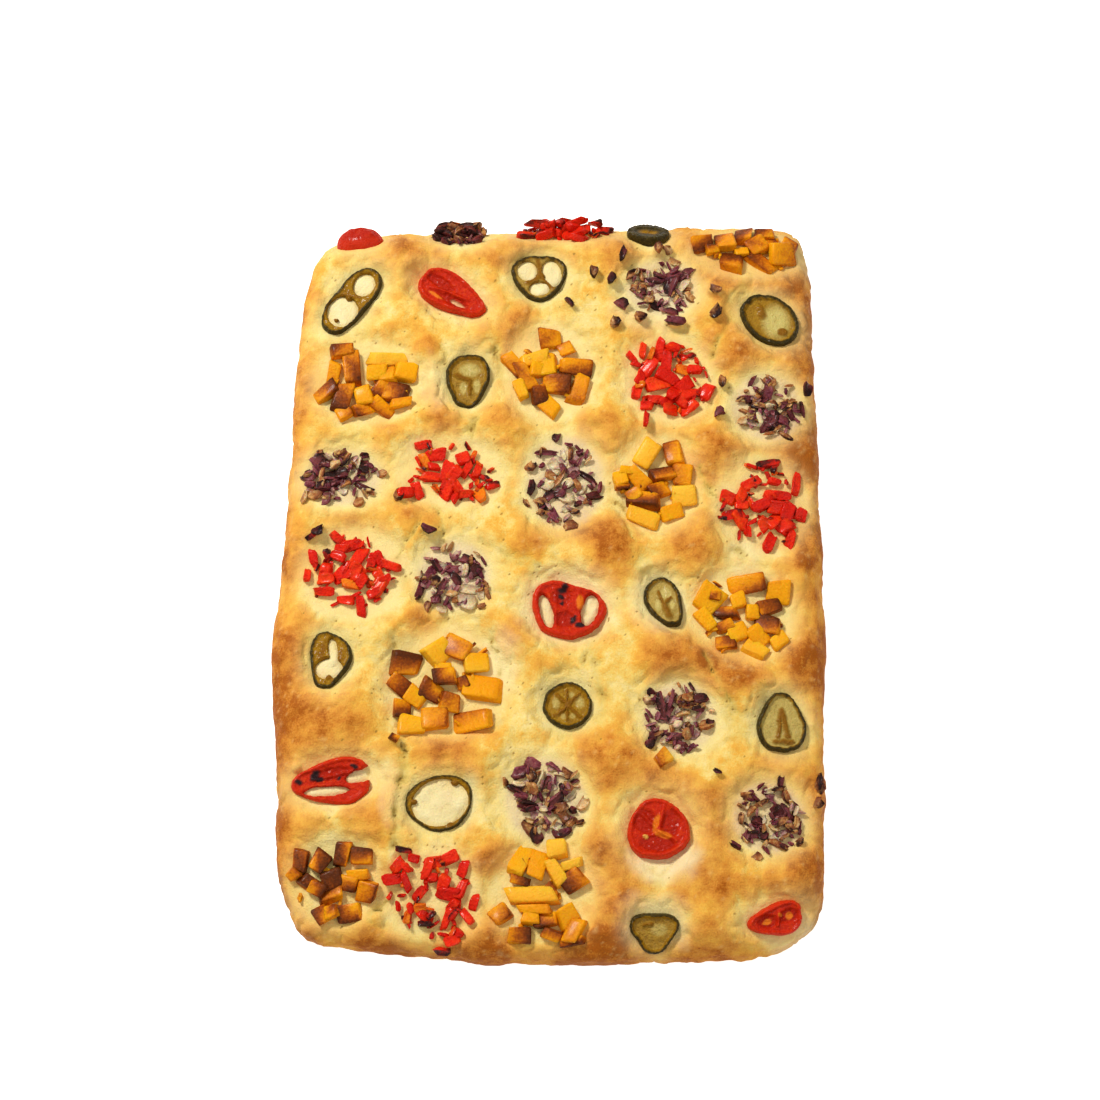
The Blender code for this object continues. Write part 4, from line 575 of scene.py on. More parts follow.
        (2.3, -4.6, 5.0, 2.1, -10, 30, "t"), (11.5, 2.9, 4.2, 1.7, 70, 20, "w"),
        (-14.4, -12.5, 5.0, 2.5, -40, 80, "d"), (3.1, -11.2, 7.5, 2.9, -30, 50, "b"),
        (6.1, -12.5, 4.2, 2.1, -20, 90, "d"), (12.3, -10.8, 4.2, 2.9, 0, 80, "b"),
        (-5.6, -16.9, 3.8, 3.3, 40, 40, "b"),
    ),
}

# A slice's chambers, ribs and seeds are in millimetres from its middle, +x right and +y to the far side
slices = {
    "jalapeno_1": dict(
        at=(0.0450, 0.1602), half=(0.0098, 0.0070), turn=-12, thick=3.4, wall=3.4, slim=4.4, fill=0.6,
        pale=0.0,
    ),
    "jalapeno_2": dict(
        at=(-0.0885, 0.1275), half=(0.0182, 0.0096), turn=52, pinch=0.17, thick=3.4, wall=1.8, slim=1.15,
        pale=0.0, open=[((-4.0, -5.0), (7.0, 7.4), 0), ((5.6, 7.4), (4.8, 5.6), -20)],
        ribs=[((-4.6, 3.2), (3.6, 1.2), 1.2), ((-1.6, 2.6), (-1.2, 0.8), 2.4)], bits=[((-6.6, -9.4), 1.3)],
    ),
    "jalapeno_3": dict(
        at=(-0.0045, 0.1390), half=(0.0122, 0.0112), corner=0.10, aim=150, thick=3.2, wall=1.6,
        open=[((-5.3, 2.8), (4.5, 4.9), 20), ((0.0, -5.8), (4.6, 3.4), 0), ((5.6, 1.6), (4.3, 6.6), 12)],
        bits=[((0.6, 0.6), 2.2)], slim=1.25, pale=0.25,
        ribs=[
            ((0.6, 0.2), (-0.6, 8.6), 1.7), ((0.6, 0.2), (-5.0, -3.4), 1.6), ((0.6, 0.2), (5.8, -5.2), 1.8),
        ],
    ),
    "jalapeno_4": dict(
        at=(0.0985, 0.1180), half=(0.0142, 0.0110), turn=-38, thick=3.6, wall=2.4, slim=1.6, fill=0.9,
        pale=0.05, glow=0.95, windows=[((2.8, -0.8), (5.8, 7.4))], ribs=[((-4.2, 5.4), (-3.2, 1.8), 2.4)],
        bits=[((5.4, -5.8), 2.2)],
    ),
    # jalapeno_5's top window is pale membrane over the dough and partly a painted highlight
    "jalapeno_5": dict(
        at=(-0.0360, 0.0890), half=(0.0128, 0.0096), turn=84, corner=0.07, aim=270, thick=3.4, wall=2.2,
        fill=1.0, ribs=[((-5.6, 2.2), (0.8, -0.4), 1.4), ((0.8, -0.4), (1.2, -7.4), 1.0)], glow=0.75,
        slim=1.2, pale=0.12,
        windows=[((0.8, 4.6), (4.6, 3.2)), ((-2.0, -4.0), (1.7, 3.0)), ((4.0, -3.0), (1.6, 3.2))],
    ),
    "jalapeno_6": dict(
        at=(0.0495, -0.0140), half=(0.0117, 0.0078), turn=112, corner=0.05, aim=60, thick=3.4, wall=1.9,
        slim=1.25, fill=1.0, pale=0.45, glow=0.85,
        windows=[((0.6, 3.6), (2.8, 3.2)), ((-2.6, -1.8), (1.6, 3.2)), ((3.4, -1.4), (1.2, 2.4))],
        ribs=[
            ((-2.6, 4.4), (-0.2, -1.4), 1.1), ((-0.2, -1.4), (2.2, -6.8), 2.0),
            ((-0.2, -1.4), (2.8, 1.8), 0.9),
        ],
    ),
    "jalapeno_7": dict(
        at=(-0.0935, -0.0395), half=(0.0127, 0.0088), turn=88, corner=0.10, aim=250, thick=3.4, wall=1.9,
        slim=1.15, pale=0.0, open=[((0.0, -4.2), (6.0, 4.8), 0), ((1.4, 3.6), (2.0, 6.2), 8)],
        ribs=[((-2.6, 5.4), (-3.4, 0.8), 2.2), ((5.0, 3.0), (5.0, -0.4), 1.6)], bits=[((0.2, -8.4), 1.7)],
    ),
    "jalapeno_8": dict(
        at=(0.0078, -0.0595), half=(0.0104, 0.0102), thick=3.6, wall=2.0, fill=1.0, pale=0.05, glow=0.6,
        ribs=[((-5.4, -4.6), (5.0, 4.8), 1.1), ((-4.8, 5.0), (5.2, -5.2), 1.1), ((0, -6.6), (0, 6.6), 0.9)],
        bits=[((0, 0), 1.5)],
        windows=[
            ((5.2, 1.2), (1.8, 2.4)), ((-5.0, 1.0), (1.5, 2.4)), ((1.8, 4.6), (1.3, 1.3)),
            ((-1.6, -4.8), (1.2, 1.3)), ((2.2, -4.6), (1.2, 1.2)),
        ],
    ),
    "jalapeno_9": dict(
        at=(0.0980, -0.0675), half=(0.0128, 0.0104), turn=90, corner=0.08, aim=90, thick=3.4, wall=1.8,
        slim=1.2, fill=1.0, pale=0.65, windows=[((-5.2, 1.6), (3.6, 6.6)), ((5.4, 1.4), (3.4, 6.4))],
        ribs=[
            ((-0.2, 5.6), (-1.8, -5.4), 1.8), ((0.2, 5.6), (2.4, -5.4), 1.8),
            ((-3.0, -7.6), (4.2, -7.6), 1.6),
        ],
    ),
    "jalapeno_10": dict(
        at=(-0.0458, -0.1010), half=(0.0142, 0.0118), turn=14, corner=0.05, aim=45, thick=3.2, wall=1.5,
        slim=0.85, pale=0.0, open=[((0.2, 0), (11.8, 9.6), 14)],
        bits=[((6.2, 8.2), 1.7), ((-10.6, 0.2), 1.5), ((4.8, -9.2), 1.4)],
    ),
    # jalapeno_11's pale middle window and chambers are partly a painted highlight
    "jalapeno_11": dict(
        at=(0.0432, -0.1540), half=(0.0098, 0.0084), corner=0.14, aim=270, thick=3.4, wall=1.9, fill=1.0,
        pale=0.12, windows=[((2.0, 0.6), (3.6, 2.6))], ribs=[((-4.4, 2.6), (-1.0, 3.2), 0.9)],
    ),
    "tomato_1": dict(at=(-0.0858, 0.1570), half=(0.0107, 0.0068), turn=2, thick=8.0),
    "tomato_2": dict(
        at=(-0.0442, 0.1310), half=(0.0168, 0.0088), turn=-32, corner=0.09, aim=325, thick=5.2, wall=2.2,
        gels=[((-4.4, 4.6), (7.2, 2.4), -34), ((1.2, -4.2), (8.0, 2.1), -31)],
        flesh=[((-6.6, -1.6), (3.6, 0.8), -33)], hollows=[((3.0, -5.4), (3.4, 0.9), -28)],
        ridges=[((-9.0, 2.4), (7.6, -4.2), 1.6)],
    ),
    "tomato_3": dict(
        at=(0.0078, -0.0170), half=(0.0160, 0.0134), turn=-14, corner=0.07, aim=250, pinch=0.09, thick=4.4,
        wall=2.4, open=[((-9.0, -0.6), (2.8, 7.6), 14), ((9.6, 0.0), (3.4, 7.2), -14)],
        gels=[((-2.6, 5.4), (4.2, 3.6), 0), ((-1.4, -4.6), (4.6, 3.4), 0)],
        flesh=[((5.4, 3.0), (1.5, 3.2), 0)],
        ridges=[((-5.0, 9.0), (-4.8, -8.0), 1.4), ((4.6, 7.0), (6.6, -5.0), 1.4)],
        chars=[
            ((-1.6, 9.2), 2.6), ((-2.6, 5.6), 1.7), ((2.8, -4.6), 2.0), ((5.4, -7.2), 2.0),
            ((-2.2, 2.6), 1.2),
        ],
    ),
    "tomato_4": dict(
        at=(-0.0900, -0.0920), half=(0.0166, 0.0098), turn=7, corner=0.10, aim=185, thick=4.0, wall=2.0,
        open=[((-3.2, -4.0), (9.4, 2.0), 4), ((9.0, 2.2), (4.4, 2.6), 24)],
        torn=[((14.2, 3.6), (5.2, 2.9), 24)], gels=[((-0.6, 3.2), (8.0, 2.6), 8)],
        ridges=[((-8.0, 0.6), (9.4, 4.6), 1.4)],
        chars=[
            ((-8.0, 2.2), 2.7), ((-6.0, 0.6), 1.8), ((8.4, 6.2), 1.6), ((-14.6, -0.6), 1.9),
            ((2.0, 1.2), 1.3),
        ],
    ),
    "tomato_5": dict(
        at=(0.0455, -0.1128), half=(0.0131, 0.0128), corner=0.05, aim=100, thick=5.6, wall=1.9, halo=7.5,
        gels=[((-5.2, 3.2), (4.6, 5.2), 30), ((5.4, 2.2), (3.8, 5.6), -16), ((-0.4, -6.0), (7.4, 3.4), 0)],
        seeds=[(-5.2, -3.2)],
        flesh=[
            ((-0.8, 2.4), (1.3, 3.8), -16), ((2.4, -2.4), (3.2, 1.5), -18), ((-0.2, -1.6), (1.5, 1.1), 0),
        ],
        ridges=[
            ((-7.0, 7.0), (0.4, -1.0), 1.5), ((0.4, -1.0), (7.4, -5.0), 1.5),
            ((0.4, -1.0), (2.6, 9.6), 1.4),
        ],
    ),
    "tomato_6": dict(
        at=(0.0940, -0.1490), half=(0.0116, 0.0068), turn=16, corner=0.11, aim=190, thick=4.6, wall=1.6,
        gels=[((-4.6, -1.0), (4.0, 2.6), 16), ((4.4, 1.6), (4.4, 2.8), 16)],
        flesh=[((-4.8, -1.2), (1.9, 1.2), 30), ((0.6, 1.8), (1.1, 0.8), -30), ((4.6, 1.4), (1.5, 1.7), 20)],
        ridges=[((-0.4, -2.4), (0.4, 2.8), 1.2)],
    ),
}

toppings = {**heaps, **slices}


def kindOf(name):
    return name.rsplit("_", 1)[0]


def reachFrom(name, x, y):  # about how far outside the topping, in metres
    spec = toppings[name]
    (cx, cy), (a, b) = spec["at"], spec["half"]
    along, across = turned(x - cx, y - cy, math.radians(spec.get("turn", 0)))
    return (np.hypot(along / a, across / b) - 1) * min(a, b)


# The loaf: a fine skin over the solid, with heaved, puckered and creased dough, and masks for its bake

loaf = dict(
    voxel=1.18 * mm, rounding=6, sole=0.6 * mm, weld=0.01 * mm, dome=2.6 * mm, folds=0.45 * mm,
    pucker=0.95 * mm, windowRise=1.5 * mm, lipRise=0.32 * mm, crease=1.5 * mm, creaseWidth=2.7 * mm,
    bake=0.31, bakeCap=0.62, halo=4.5,
)

# Waves of the dough and of its bake: strength, size and seed
waves = dict(
    heave=(0.80 * mm, 13 * mm, 1.3), swell=(0.60 * mm, 8 * mm, 6.3), ripple=(0.08 * mm, 2.6 * mm, 2.1),
    folds=(2, 6 * mm, 2.9), pucker=(4.5, 8 * mm, 4.4), lip=(2, 9 * mm, 18.0), stray=(1.5 * mm, 5 * mm, 17.0),
    creaseX=(2.6 * mm, 7 * mm, 8.0), creaseFineX=(1.3 * mm, 2.6 * mm, 8.5), creaseFade=(1, 5 * mm, 12.0),
    creaseY=(2.6 * mm, 7 * mm, 9.0), creaseFineY=(1.3 * mm, 2.6 * mm, 9.5),
    brownX=(3.5 * mm, 9 * mm, 15.0), brownY=(3.5 * mm, 9 * mm, 16.0), pale=(3 * mm, 7 * mm, 23.0),
    bake=(0.18, 26 * mm, 3.1), mottle=(0.26, 8 * mm, 7.7), wallBake=(0.15, 16 * mm, 5.5),
    window=(0.35, 3.5 * mm, 21.0),
)

# Small relief: how many, radius, height as a share of the radius, and depth
relief = dict(
    knuckles=dict(count=190, size=(2.2 * mm, 5.2 * mm), steep=0.17, depth=0),
    blisters=dict(count=520, size=(0.9 * mm, 2.1 * mm), steep=0.22, depth=0),
    pores=dict(count=170, size=(0.8 * mm, 1.3 * mm), steep=0, depth=0.5 * mm),
)
creasePores = dict(every=6, size=(0.8, 1.4), depth=(0.3, 0.9))

# How much darker the loaf grows towards its edges: axis, from where to where, and strength
edgeBakeAndShade = (
    # the edges browned more; the right edge's stronger band is partly painted shade on the side away from the
    # light
    (0, 0.088, 0.114, 0.35), (1, -0.148, -0.162, 0.24), (0, -0.098, -0.114, 0.27), (1, 0.135, 0.162, 0.10),
)

# Where the crust browned most: x, y, radius in millimetres and strength
browned = (
    (27, 15, 14, 0.55), (61, 16, 14, 0.32), (49, -36, 13, 0.45), (77, -44, 14, 0.55), (110, -40, 12, 0.45),
    (23, -84, 16, 0.45), (68, -106, 16, 0.35), (101, -133, 15, 0.40), (26, -147, 13, 0.35),
    (20, -120, 11, 0.25), (-90, -70, 18, 0.44), (-41, -80, 16, 0.40), (-76, -108, 12, 0.40),
    (-24, -126, 9, 0.45), (-56, 23, 9, 0.35), (-86, 21, 10, 0.25), (-6, 13, 9, 0.35), (-54, -21, 8, 0.40),
    (-15, -31, 9, 0.35), (-72, 64, 9, 0.20), (-68, 151, 14, 0.15), (-62, 114, 10, 0.20),
    (-55, 104, 6, 0.50), (-17, 116, 11, 0.35), (-47, 68, 11, 0.40), (-21, 67, 11, 0.32),
    (81, 106, 14, 0.35), (29, 157, 14, 0.35), (76, 144, 13, 0.40), (71, 50, 13, 0.42), (24, 64, 13, 0.38),
    (-104, 90, 14, 0.30), (-111, -31, 12, 0.30), (113, 14, 12, 0.40), (110, -100, 12, 0.25),
    (-32, -161, 16, 0.35), (20, -163, 20, 0.40), (70, -163, 20, 0.20), (-107, 5, 12, 0.25),
    (-112, -58, 16, 0.40), (48, -91, 10, 0.35), (71, -126, 14, 0.30), (28, -130, 12, 0.30),
    (60, -138, 12, 0.25), (-62, 153, 18, 0.32), (12, 24, 11, 0.35), (63, -36, 9, 0.35),
    (103, 138, 14, 0.30), (60, 162, 12, 0.30), (112, 55, 14, 0.35), (44, 112, 8, 0.20), (-90, 155, 9, 0.25),
    (0, 158, 12, 0.25), (-112, 130, 12, 0.20), (-112, -135, 13, 0.35), (-100, -155, 10, 0.35),
    (-72, -162, 14, 0.35), (-66, -132, 8, 0.25), (-113, -85, 12, 0.30), (-109, -110, 14, 0.30),
    (90, -85, 14, 0.30), (-20, 150, 12, 0.30), (0, -42, 8, 0.15), (112, 110, 14, 0.25),
    (86, -160, 15, -0.12),
)

# Where the dough stayed pale and moist: x, y and half sizes in millimetres, and strength
paleDough = (
    (48, -125, 13, 10, 1.20), (8, -15, 21, 17, 0.50), (46, -14, 13, 13, 0.45), (43, -151, 15, 12, 0.45),
    (99, -155, 12, 8, 0.55), (45, 124, 18, 12, 0.55), (-34, -100, 5, 11, 0.45), (-20, -40, 8, 13, 0.50),
    (-66, -98, 5, 14, 0.35), (7, 42, 16, 18, 0.45), (-43, -2, 15, 13, 0.45), (55, -58, 12, 9, 0.40),
    (-52, 86, 6, 12, 0.40), (84, 6, 8, 8, 0.35),
)

# Creases where the dough was pressed together: runs of points in millimetres
creases = (
    ((-65, -31), (-62, -52), (-63, -71), (-61, -88), (-64, -105), (-63, -122)),
    ((-23, -28), (-21, -42), (-22, -58), (-20, -68)), ((-52, 32), (-47, 26), (-46, 12)),
    ((-32, 72), (-35, 58), (-34, 44)), ((31, 32), (35, 18), (39, 4)), ((66, 46), (72, 32), (84, 5)),
    ((18, -36), (22, -58)), ((5, -6), (-8, 2), (-30, 14)), ((-52, 30), (-66, 5)), ((82, 118), (72, 100)),
    ((-74, -150), (-60, -134)), ((66, -38), (78, -62)), ((20, -24), (14, -40)), ((-24, 104), (-20, 88)),
)


def wave(points, name):
    strength, size, seed = waves[name]
    return strength * noiseAt(points, size, seed)


def mergedCopy(node, name):
    piece = bpy.data.objects.new(name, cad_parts[node].data.copy())
    bpy.context.scene.collection.objects.link(piece)
    selectOnly(piece)
    bpy.ops.object.mode_set(mode="EDIT")
    bpy.ops.mesh.select_all(action="SELECT")
    bpy.ops.mesh.remove_doubles(threshold=loaf["weld"])
    bpy.ops.object.mode_set(mode="OBJECT")
    return piece


def coarsenSole(piece):
    for face in piece.data.polygons:  # the flat underside becomes one face
        face.select = face.normal.z < -0.97 and face.center.z < loaf["sole"]
    bpy.ops.object.mode_set(mode="EDIT")
    bpy.ops.mesh.select_mode(type="FACE")
    bpy.ops.mesh.dissolve_faces()
    bpy.ops.object.mode_set(mode="OBJECT")


def browningOf(points):
    x, y = points[:, 0] + wave(points, "brownX"), points[:, 1] + wave(points, "brownY")
    total = np.zeros(len(x))
    for cx, cy, radius, strength in browned:
        total += strength * np.exp(-(np.hypot(x - cx * mm, y - cy * mm) / (radius * mm)) ** 3)
    return np.minimum(total, loaf["bakeCap"])


def bakeOf(points, normals, near, brown):
    bake = loaf["bake"] + wave(points, "bake") + wave(points, "mottle") + 0.85 * brown
    bake -= 0.22 * np.exp(-np.maximum(near, 0) / (loaf["halo"] * mm))
    bake += (1 - smooth(0.15, 0.85, normals[:, 2])) * (0.17 + wave(points, "wallBake"))
    for axis, start, end, strength in edgeBakeAndShade:
        bake += strength * smooth(start, end, points[:, axis])
    bake += 0.13 * smooth(0.03, 0.09, points[:, 0]) * smooth(0.00, 0.08, points[:, 1])  # the far right corner
    return bake - smooth(10 * mm, 2 * mm, points[:, 2]) * 0.10


def creaseOf(points):
    x = points[:, 0] + wave(points, "creaseX") + wave(points, "creaseFineX")
    y = points[:, 1] + wave(points, "creaseY") + wave(points, "creaseFineY")
    runs = [[[value * mm for value in place] for place in run] for run in creases]
    legs = [(start, end, loaf["creaseWidth"]) for run in runs for start, end in zip(run, run[1:])]
    return strokes(x, y, legs, 1, 0.95) * (0.35 + 0.65 * smooth(-0.25, 0.35, wave(points, "creaseFade")))


def heaveOf(points, near, crease, brown):
    clear = 0.32 + 0.68 * smooth(0.5 * mm, 5.5 * mm, near)  # the dough stays low where a topping lies
    rise = wave(points, "heave") + wave(points, "swell") + loaf["dome"] * brown
    rise += loaf["folds"] * (0.5 - np.abs(wave(points, "folds")))
    rise = rise * clear + wave(points, "ripple")
    lip = np.exp(-((near - 3.4 * mm) / (2.4 * mm)) ** 2) * np.clip(0.6 + wave(points, "lip"), 0, 1.6)
    band = smooth(1.2 * mm, 3.0 * mm, near) * smooth(11 * mm, 4 * mm, near)
    rise += loaf["lipRise"] * lip
    rise -= loaf["pucker"] * band * np.clip(1 - np.abs(wave(points, "pucker")), 0, 1)
    return rise - loaf["crease"] * crease * smooth(0.5 * mm, 2.5 * mm, near)


def haloOf(x, y):
    halos = []
    for name, spec in toppings.items():
        reach = spec.get("halo", loaf["halo"]) * mm
        halos.append(np.exp(-(np.maximum(reachFrom(name, x, y), 0) / reach) ** 1.5))
    return union(x, halos)


def paleIn(points):
    drift = wave(points, "pale")
    x, y = points[:, 0] + drift, points[:, 1] - drift
    return union(x, [
        strength * ellipseMask(x, y, (cx * mm, cy * mm), (a * mm, b * mm), 0.35)
        for cx, cy, a, b, strength in paleDough
    ])


def windowsIn(x, y):
    rise = np.zeros(len(x))
    for spec in slices.values():
        for (cx, cy), half, turn in spec.get("open", ()):
            centre = (spec["at"][0] + cx * mm, spec["at"][1] + cy * mm)
            rise += ellipseMask(x, y, centre, [h * mm for h in half], 0.25, turn)
    return rise * (0.85 + wave(np.stack([x, y, 0 * x], axis=1), "window"))


def pointTree(points):
    tree = KDTree(len(points))
    for index, place in enumerate(points):
        tree.insert(place, index)
    tree.balance()
    return tree


def scatterRelief(points, normals, near, bake, crease):
    draw = random.Random("crust")
    free = np.nonzero((normals[:, 2] > 0.5) & (near > 1.5 * mm))[0]
    weights = dict(
        knuckles=np.ones(len(free)), blisters=np.clip(bake[free], 0.05, 1) ** 2,
        pores=np.clip(0.7 - bake[free], 0.02, 1) ** 2,
    )
    spots = {kind: [] for kind in relief}
    for kind, look in relief.items():
        for index in draw.choices(list(free), list(weights[kind]), k=look["count"]):
            radius = draw.uniform(*look["size"])
            rise = radius * look["steep"] - look["depth"]
            spots[kind].append((Vector(points[index]), radius, rise * draw.uniform(0.4, 1.0)))
    deep = np.nonzero((crease > 0.75) & (normals[:, 2] > 0.2) & (near > 1.0 * mm))[0]
    for index in draw.sample(list(deep), k=len(deep) // creasePores["every"]):
        radius = draw.uniform(*creasePores["size"]) * mm
        spots["pores"].append((Vector(points[index]), radius, -draw.uniform(*creasePores["depth"]) * mm))
    return spots


def pressIn(points, normals, tree, spots):
    for place, radius, rise in spots:  # a rounded dent or bump of that radius
        for _, index, away in tree.find_range(place, radius):
            points[index] += normals[index] * rise * (1 - (away / radius) ** 2) ** 2


def spotMask(size, tree, spots, share):
    mask = np.zeros(size)
    for place, radius, _ in spots:
        for _, index, away in tree.find_range(place, radius * share):
            mask[index] = max(mask[index], 1 - away / (radius * share))
    return mask


def makeLoaf(material):
    piece = mergedCopy("bread", "crust")
    applyModifier(piece, "REMESH", mode="VOXEL", voxel_size=loaf["voxel"], use_smooth_shade=True)
    applyModifier(piece, "SMOOTH", factor=0.5, iterations=loaf["rounding"])
    coarsenSole(piece)
    points, normals = pointsOf(piece), vectorsOf(piece.data.vertex_normals, "vector")
    x, y = points[:, 0], points[:, 1]  # these follow the points as they move
    near = np.min([reachFrom(name, x, y) for name in toppings], axis=0) + wave(points, "stray")
    onions = np.min([reachFrom(name, x, y) for name in heaps if kindOf(name) == "red_onion"], axis=0)
    brown, crease = browningOf(points), creaseOf(points)
    bake = bakeOf(points, normals, near, brown)
    rise = heaveOf(points, near, crease, brown)
    topSide = smooth(2 * mm, 7 * mm, points[:, 2])
    points += normals * ((rise + loaf["windowRise"] * windowsIn(x, y)) * topSide)[:, None]

    tree = pointTree(points)
    spots = scatterRelief(points, normals, near, bake, crease)
    for kind in spots:
        pressIn(points, normals, tree, spots[kind])
    movePoints(piece, np.clip(points, *np.array(cadBox)))

    # painted shade: where the pores are, for a dark brown inside them
    poreShade = spotMask(len(points), tree, spots["pores"], 1.0)
    fleck = spotMask(len(points), tree, spots["blisters"], 0.8)
    lift = (rise - loaf["lipRise"] * 0.3) / mm
    window = np.clip(windowsIn(x, y), 0, 1)
    golden = np.maximum(browningOf(points) / loaf["bakeCap"], smooth(-0.150, -0.162, y))
    masks = dict(
        bake=bake + 0.12 * np.clip(lift, -1, 1) - 0.12 * crease - 0.05 * fleck,
        # painted shade: the low dough between the rises is tinted darker olive
        paintedTroughShade=-0.9 * lift * topSide * smooth(0.6, 0.3, bake),
        film=smooth(1.0 * mm, -3.0 * mm, onions),
        well=haloOf(x, y) * topSide * (1 - 0.4 * window) * (1 - 0.75 * golden),
        pane=np.maximum(window, paleIn(points)) * topSide,
        crease=crease * topSide, poreShade=poreShade, fleck=fleck,
    )
    for name, values in masks.items():
        setMask(piece, name, values)
    finishPiece(piece, material, "bread", "bread")
    print("crust:", len(piece.data.polygons), "faces")


# The crust's colours from pale to browned, then its tints: mask, share, how much the grain breaks up
# its edge, and tone. In the dark ones a number says where they start.
crustTones = (
    (0.00, (0.93, 0.75, 0.31)), (0.20, (0.88, 0.62, 0.155)), (0.40, (0.84, 0.45, 0.062)),
    (0.62, (0.76, 0.34, 0.046)), (0.82, (0.62, 0.225, 0.026)), (1.00, (0.40, 0.105, 0.006)),
)
crustTints = (
    ("well", 0.72, 0.5, (0.88, 0.73, 0.31)), ("pane", 0.60, 0.9, (0.92, 0.85, 0.56)),
    # the trough tint is painted shade in the low dough
    ("film", 0.45, 2.5, (0.74, 0.58, 0.44)), ("paintedTroughShade", 0.45, 0.6, (0.72, 0.54, 0.14)),
    # the crease tint is painted shade in the creases, over the pressed dough's own olive tinge
    ("crease", 0.50, 0.5, (0.60, 0.43, 0.09)),
)
# both darks are painted shade: down in the creases, and inside the pores
crustDarks = (("crease", -0.72, (0.36, 0.22, 0.035)), ("poreShade", -0.40, (0.34, 0.18, 0.03)))


def makeCrustMaterial():
    material, tree = newMaterial("bakedCrust")
    value, height = grainNode(tree, 300, 1300, 0.42)
    broad, _ = grainNode(tree, 70, 150, 0.34)
    bake = mathNode(tree, "ADD", maskNode(tree, "bake"), value)
    colour = rampNode(tree, mathNode(tree, "ADD", bake, broad, clamp=True), crustTones)
    spots = addNode(tree, "ShaderNodeTexVoronoi", {"Vector": placeNode(tree), "Scale": 480.0})
    dots = mathNode(tree, "SUBTRACT", 0.24, spots.outputs["Distance"])
    dots = mathNode(tree, "MULTIPLY", dots, 4.0, clamp=True)
    brown = mathNode(tree, "SUBTRACT", maskNode(tree, "bake"), 0.30, clamp=True)
    dots = mathNode(tree, "MULTIPLY", dots, mathNode(tree, "MINIMUM", brown, 0.30))
    colour = mixNode(tree, dots, colour, (0.90, 0.52, 0.10))
    colour = tintNode(tree, colour, "fleck", 0.25, (0.88, 0.60, 0.24))
    for mask, share, jagged, tone in crustTints:
        shade = mathNode(tree, "MULTIPLY_ADD", value, jagged, 1.0)
        shade = mathNode(tree, "MULTIPLY", shade, maskNode(tree, mask))
        colour = mixNode(tree, mathNode(tree, "MULTIPLY", shade, share, clamp=True), colour, tone)
    for mask, start, tone in crustDarks:
        dark = mathNode(tree, "MULTIPLY_ADD", value, 1.1, maskNode(tree, mask))
        dark = mathNode(tree, "MULTIPLY", mathNode(tree, "ADD", dark, start), 2.6, clamp=True)
        colour = mixNode(tree, mathNode(tree, "MULTIPLY", dark, 0.75), colour, tone)
    values = {"Vector": placeNode(tree), "Scale": 130.0, "Detail": 8.0, "Roughness": 0.60}
    fine = addNode(tree, "ShaderNodeTexNoise", values).outputs["Fac"]
    rough = mathNode(tree, "ADD", mathNode(tree, "MULTIPLY", height, 0.35), fine)
    setInputs(tree, "Principled BSDF", {
        "Base Color": colour, "Normal": bumpNode(tree, rough, 0.0013, 0.85),
        "Roughness": mathNode(tree, "MULTIPLY_ADD", maskNode(tree, "well"), -0.14, 0.54),
        "Specular IOR Level": 0.07, "Subsurface Weight": 0.10, "Subsurface Radius": (0.003, 0.0018, 0.0007),
        "Subsurface Scale": 1.0,
    })
    return material


# Laying a topping on the solid loaf

laying = dict(above=0.1, missed=10 * mm)


def surfaceTree(piece):
    mesh = piece.data
    mesh.calc_loop_triangles()
    triangles = [triangle.vertices[:] for triangle in mesh.loop_triangles]
    return BVHTree.FromPolygons([vertex.co[:] for vertex in mesh.vertices], triangles)


def heightOn(tree, x, y):
    hit = tree.ray_cast(Vector((x, y, laying["above"])), Vector((0, 0, -1)))
    return hit[0].z if hit[0] else laying["missed"]


def layOn(tree, x, y, reach):
    here = Vector((x, y, heightOn(tree, x, y)))
    right = Vector((2 * reach, 0, heightOn(tree, x + reach, y) - heightOn(tree, x - reach, y)))
    far = Vector((0, 2 * reach, heightOn(tree, x, y + reach) - heightOn(tree, x, y - reach)))
    up = right.cross(far).normalized()
    side = (right - up * right.dot(up)).normalized()
    return Matrix.Translation(here) @ Matrix((side, up.cross(side), up)).transposed().to_4x4()


# Slices: a round blank worked into skin, flesh, ribs, chambers and seeds. The heights and widths are in
# millimetres; under is the level of the underside, and through that of a chamber that is cut through.

sliceLook = dict(around=128, rings=56, crinkle=0.46, edge=0.9, tomatoEdge=1.5, under=-2.6, through=-2.2)


def blankSlice(name, spec):
    around, rings = sliceLook["around"], sliceLook["rings"]
    deselect()
    bpy.ops.mesh.primitive_uv_sphere_add(segments=around, ring_count=rings, radius=1)
    piece = bpy.context.object
    piece.name = name + "_slice"
    unit = pointsOf(piece)
    angle = np.arctan2(unit[:, 1], unit[:, 0])
    fromTop = np.arccos(np.clip(np.abs(unit[:, 2]), 0, 1)) / (math.pi / 2)
    share = 1 - (1 - fromTop) ** 1.15
    turn, seed = spec.get("turn", 0), seedOf(name) * 0.1
    shape = 1 + spec.get("corner", 0) * np.cos(3 * (angle + math.radians(turn - spec.get("aim", 0))))
    shape -= spec.get("pinch", 0) * np.sin(angle) ** 8
    rim = np.stack([np.cos(angle), np.sin(angle), np.zeros(len(angle))], axis=1)
    shape *= 1 + 0.030 * noiseAt(rim, 0.42, seed) + 0.022 * noiseAt(rim, 0.13, seed)
    a, b = (half / mm for half in spec["half"])
    x, y = a * np.cos(angle) * shape, b * np.sin(angle) * shape
    inside = (1 - share) * np.hypot(x, y)
    x, y = (share * value for value in turned(x, y, -math.radians(turn)))
    return piece, x, y, inside, unit[:, 2] >= -1e-6, rim, np.stack([x, y, 0 * x], axis=1), seed


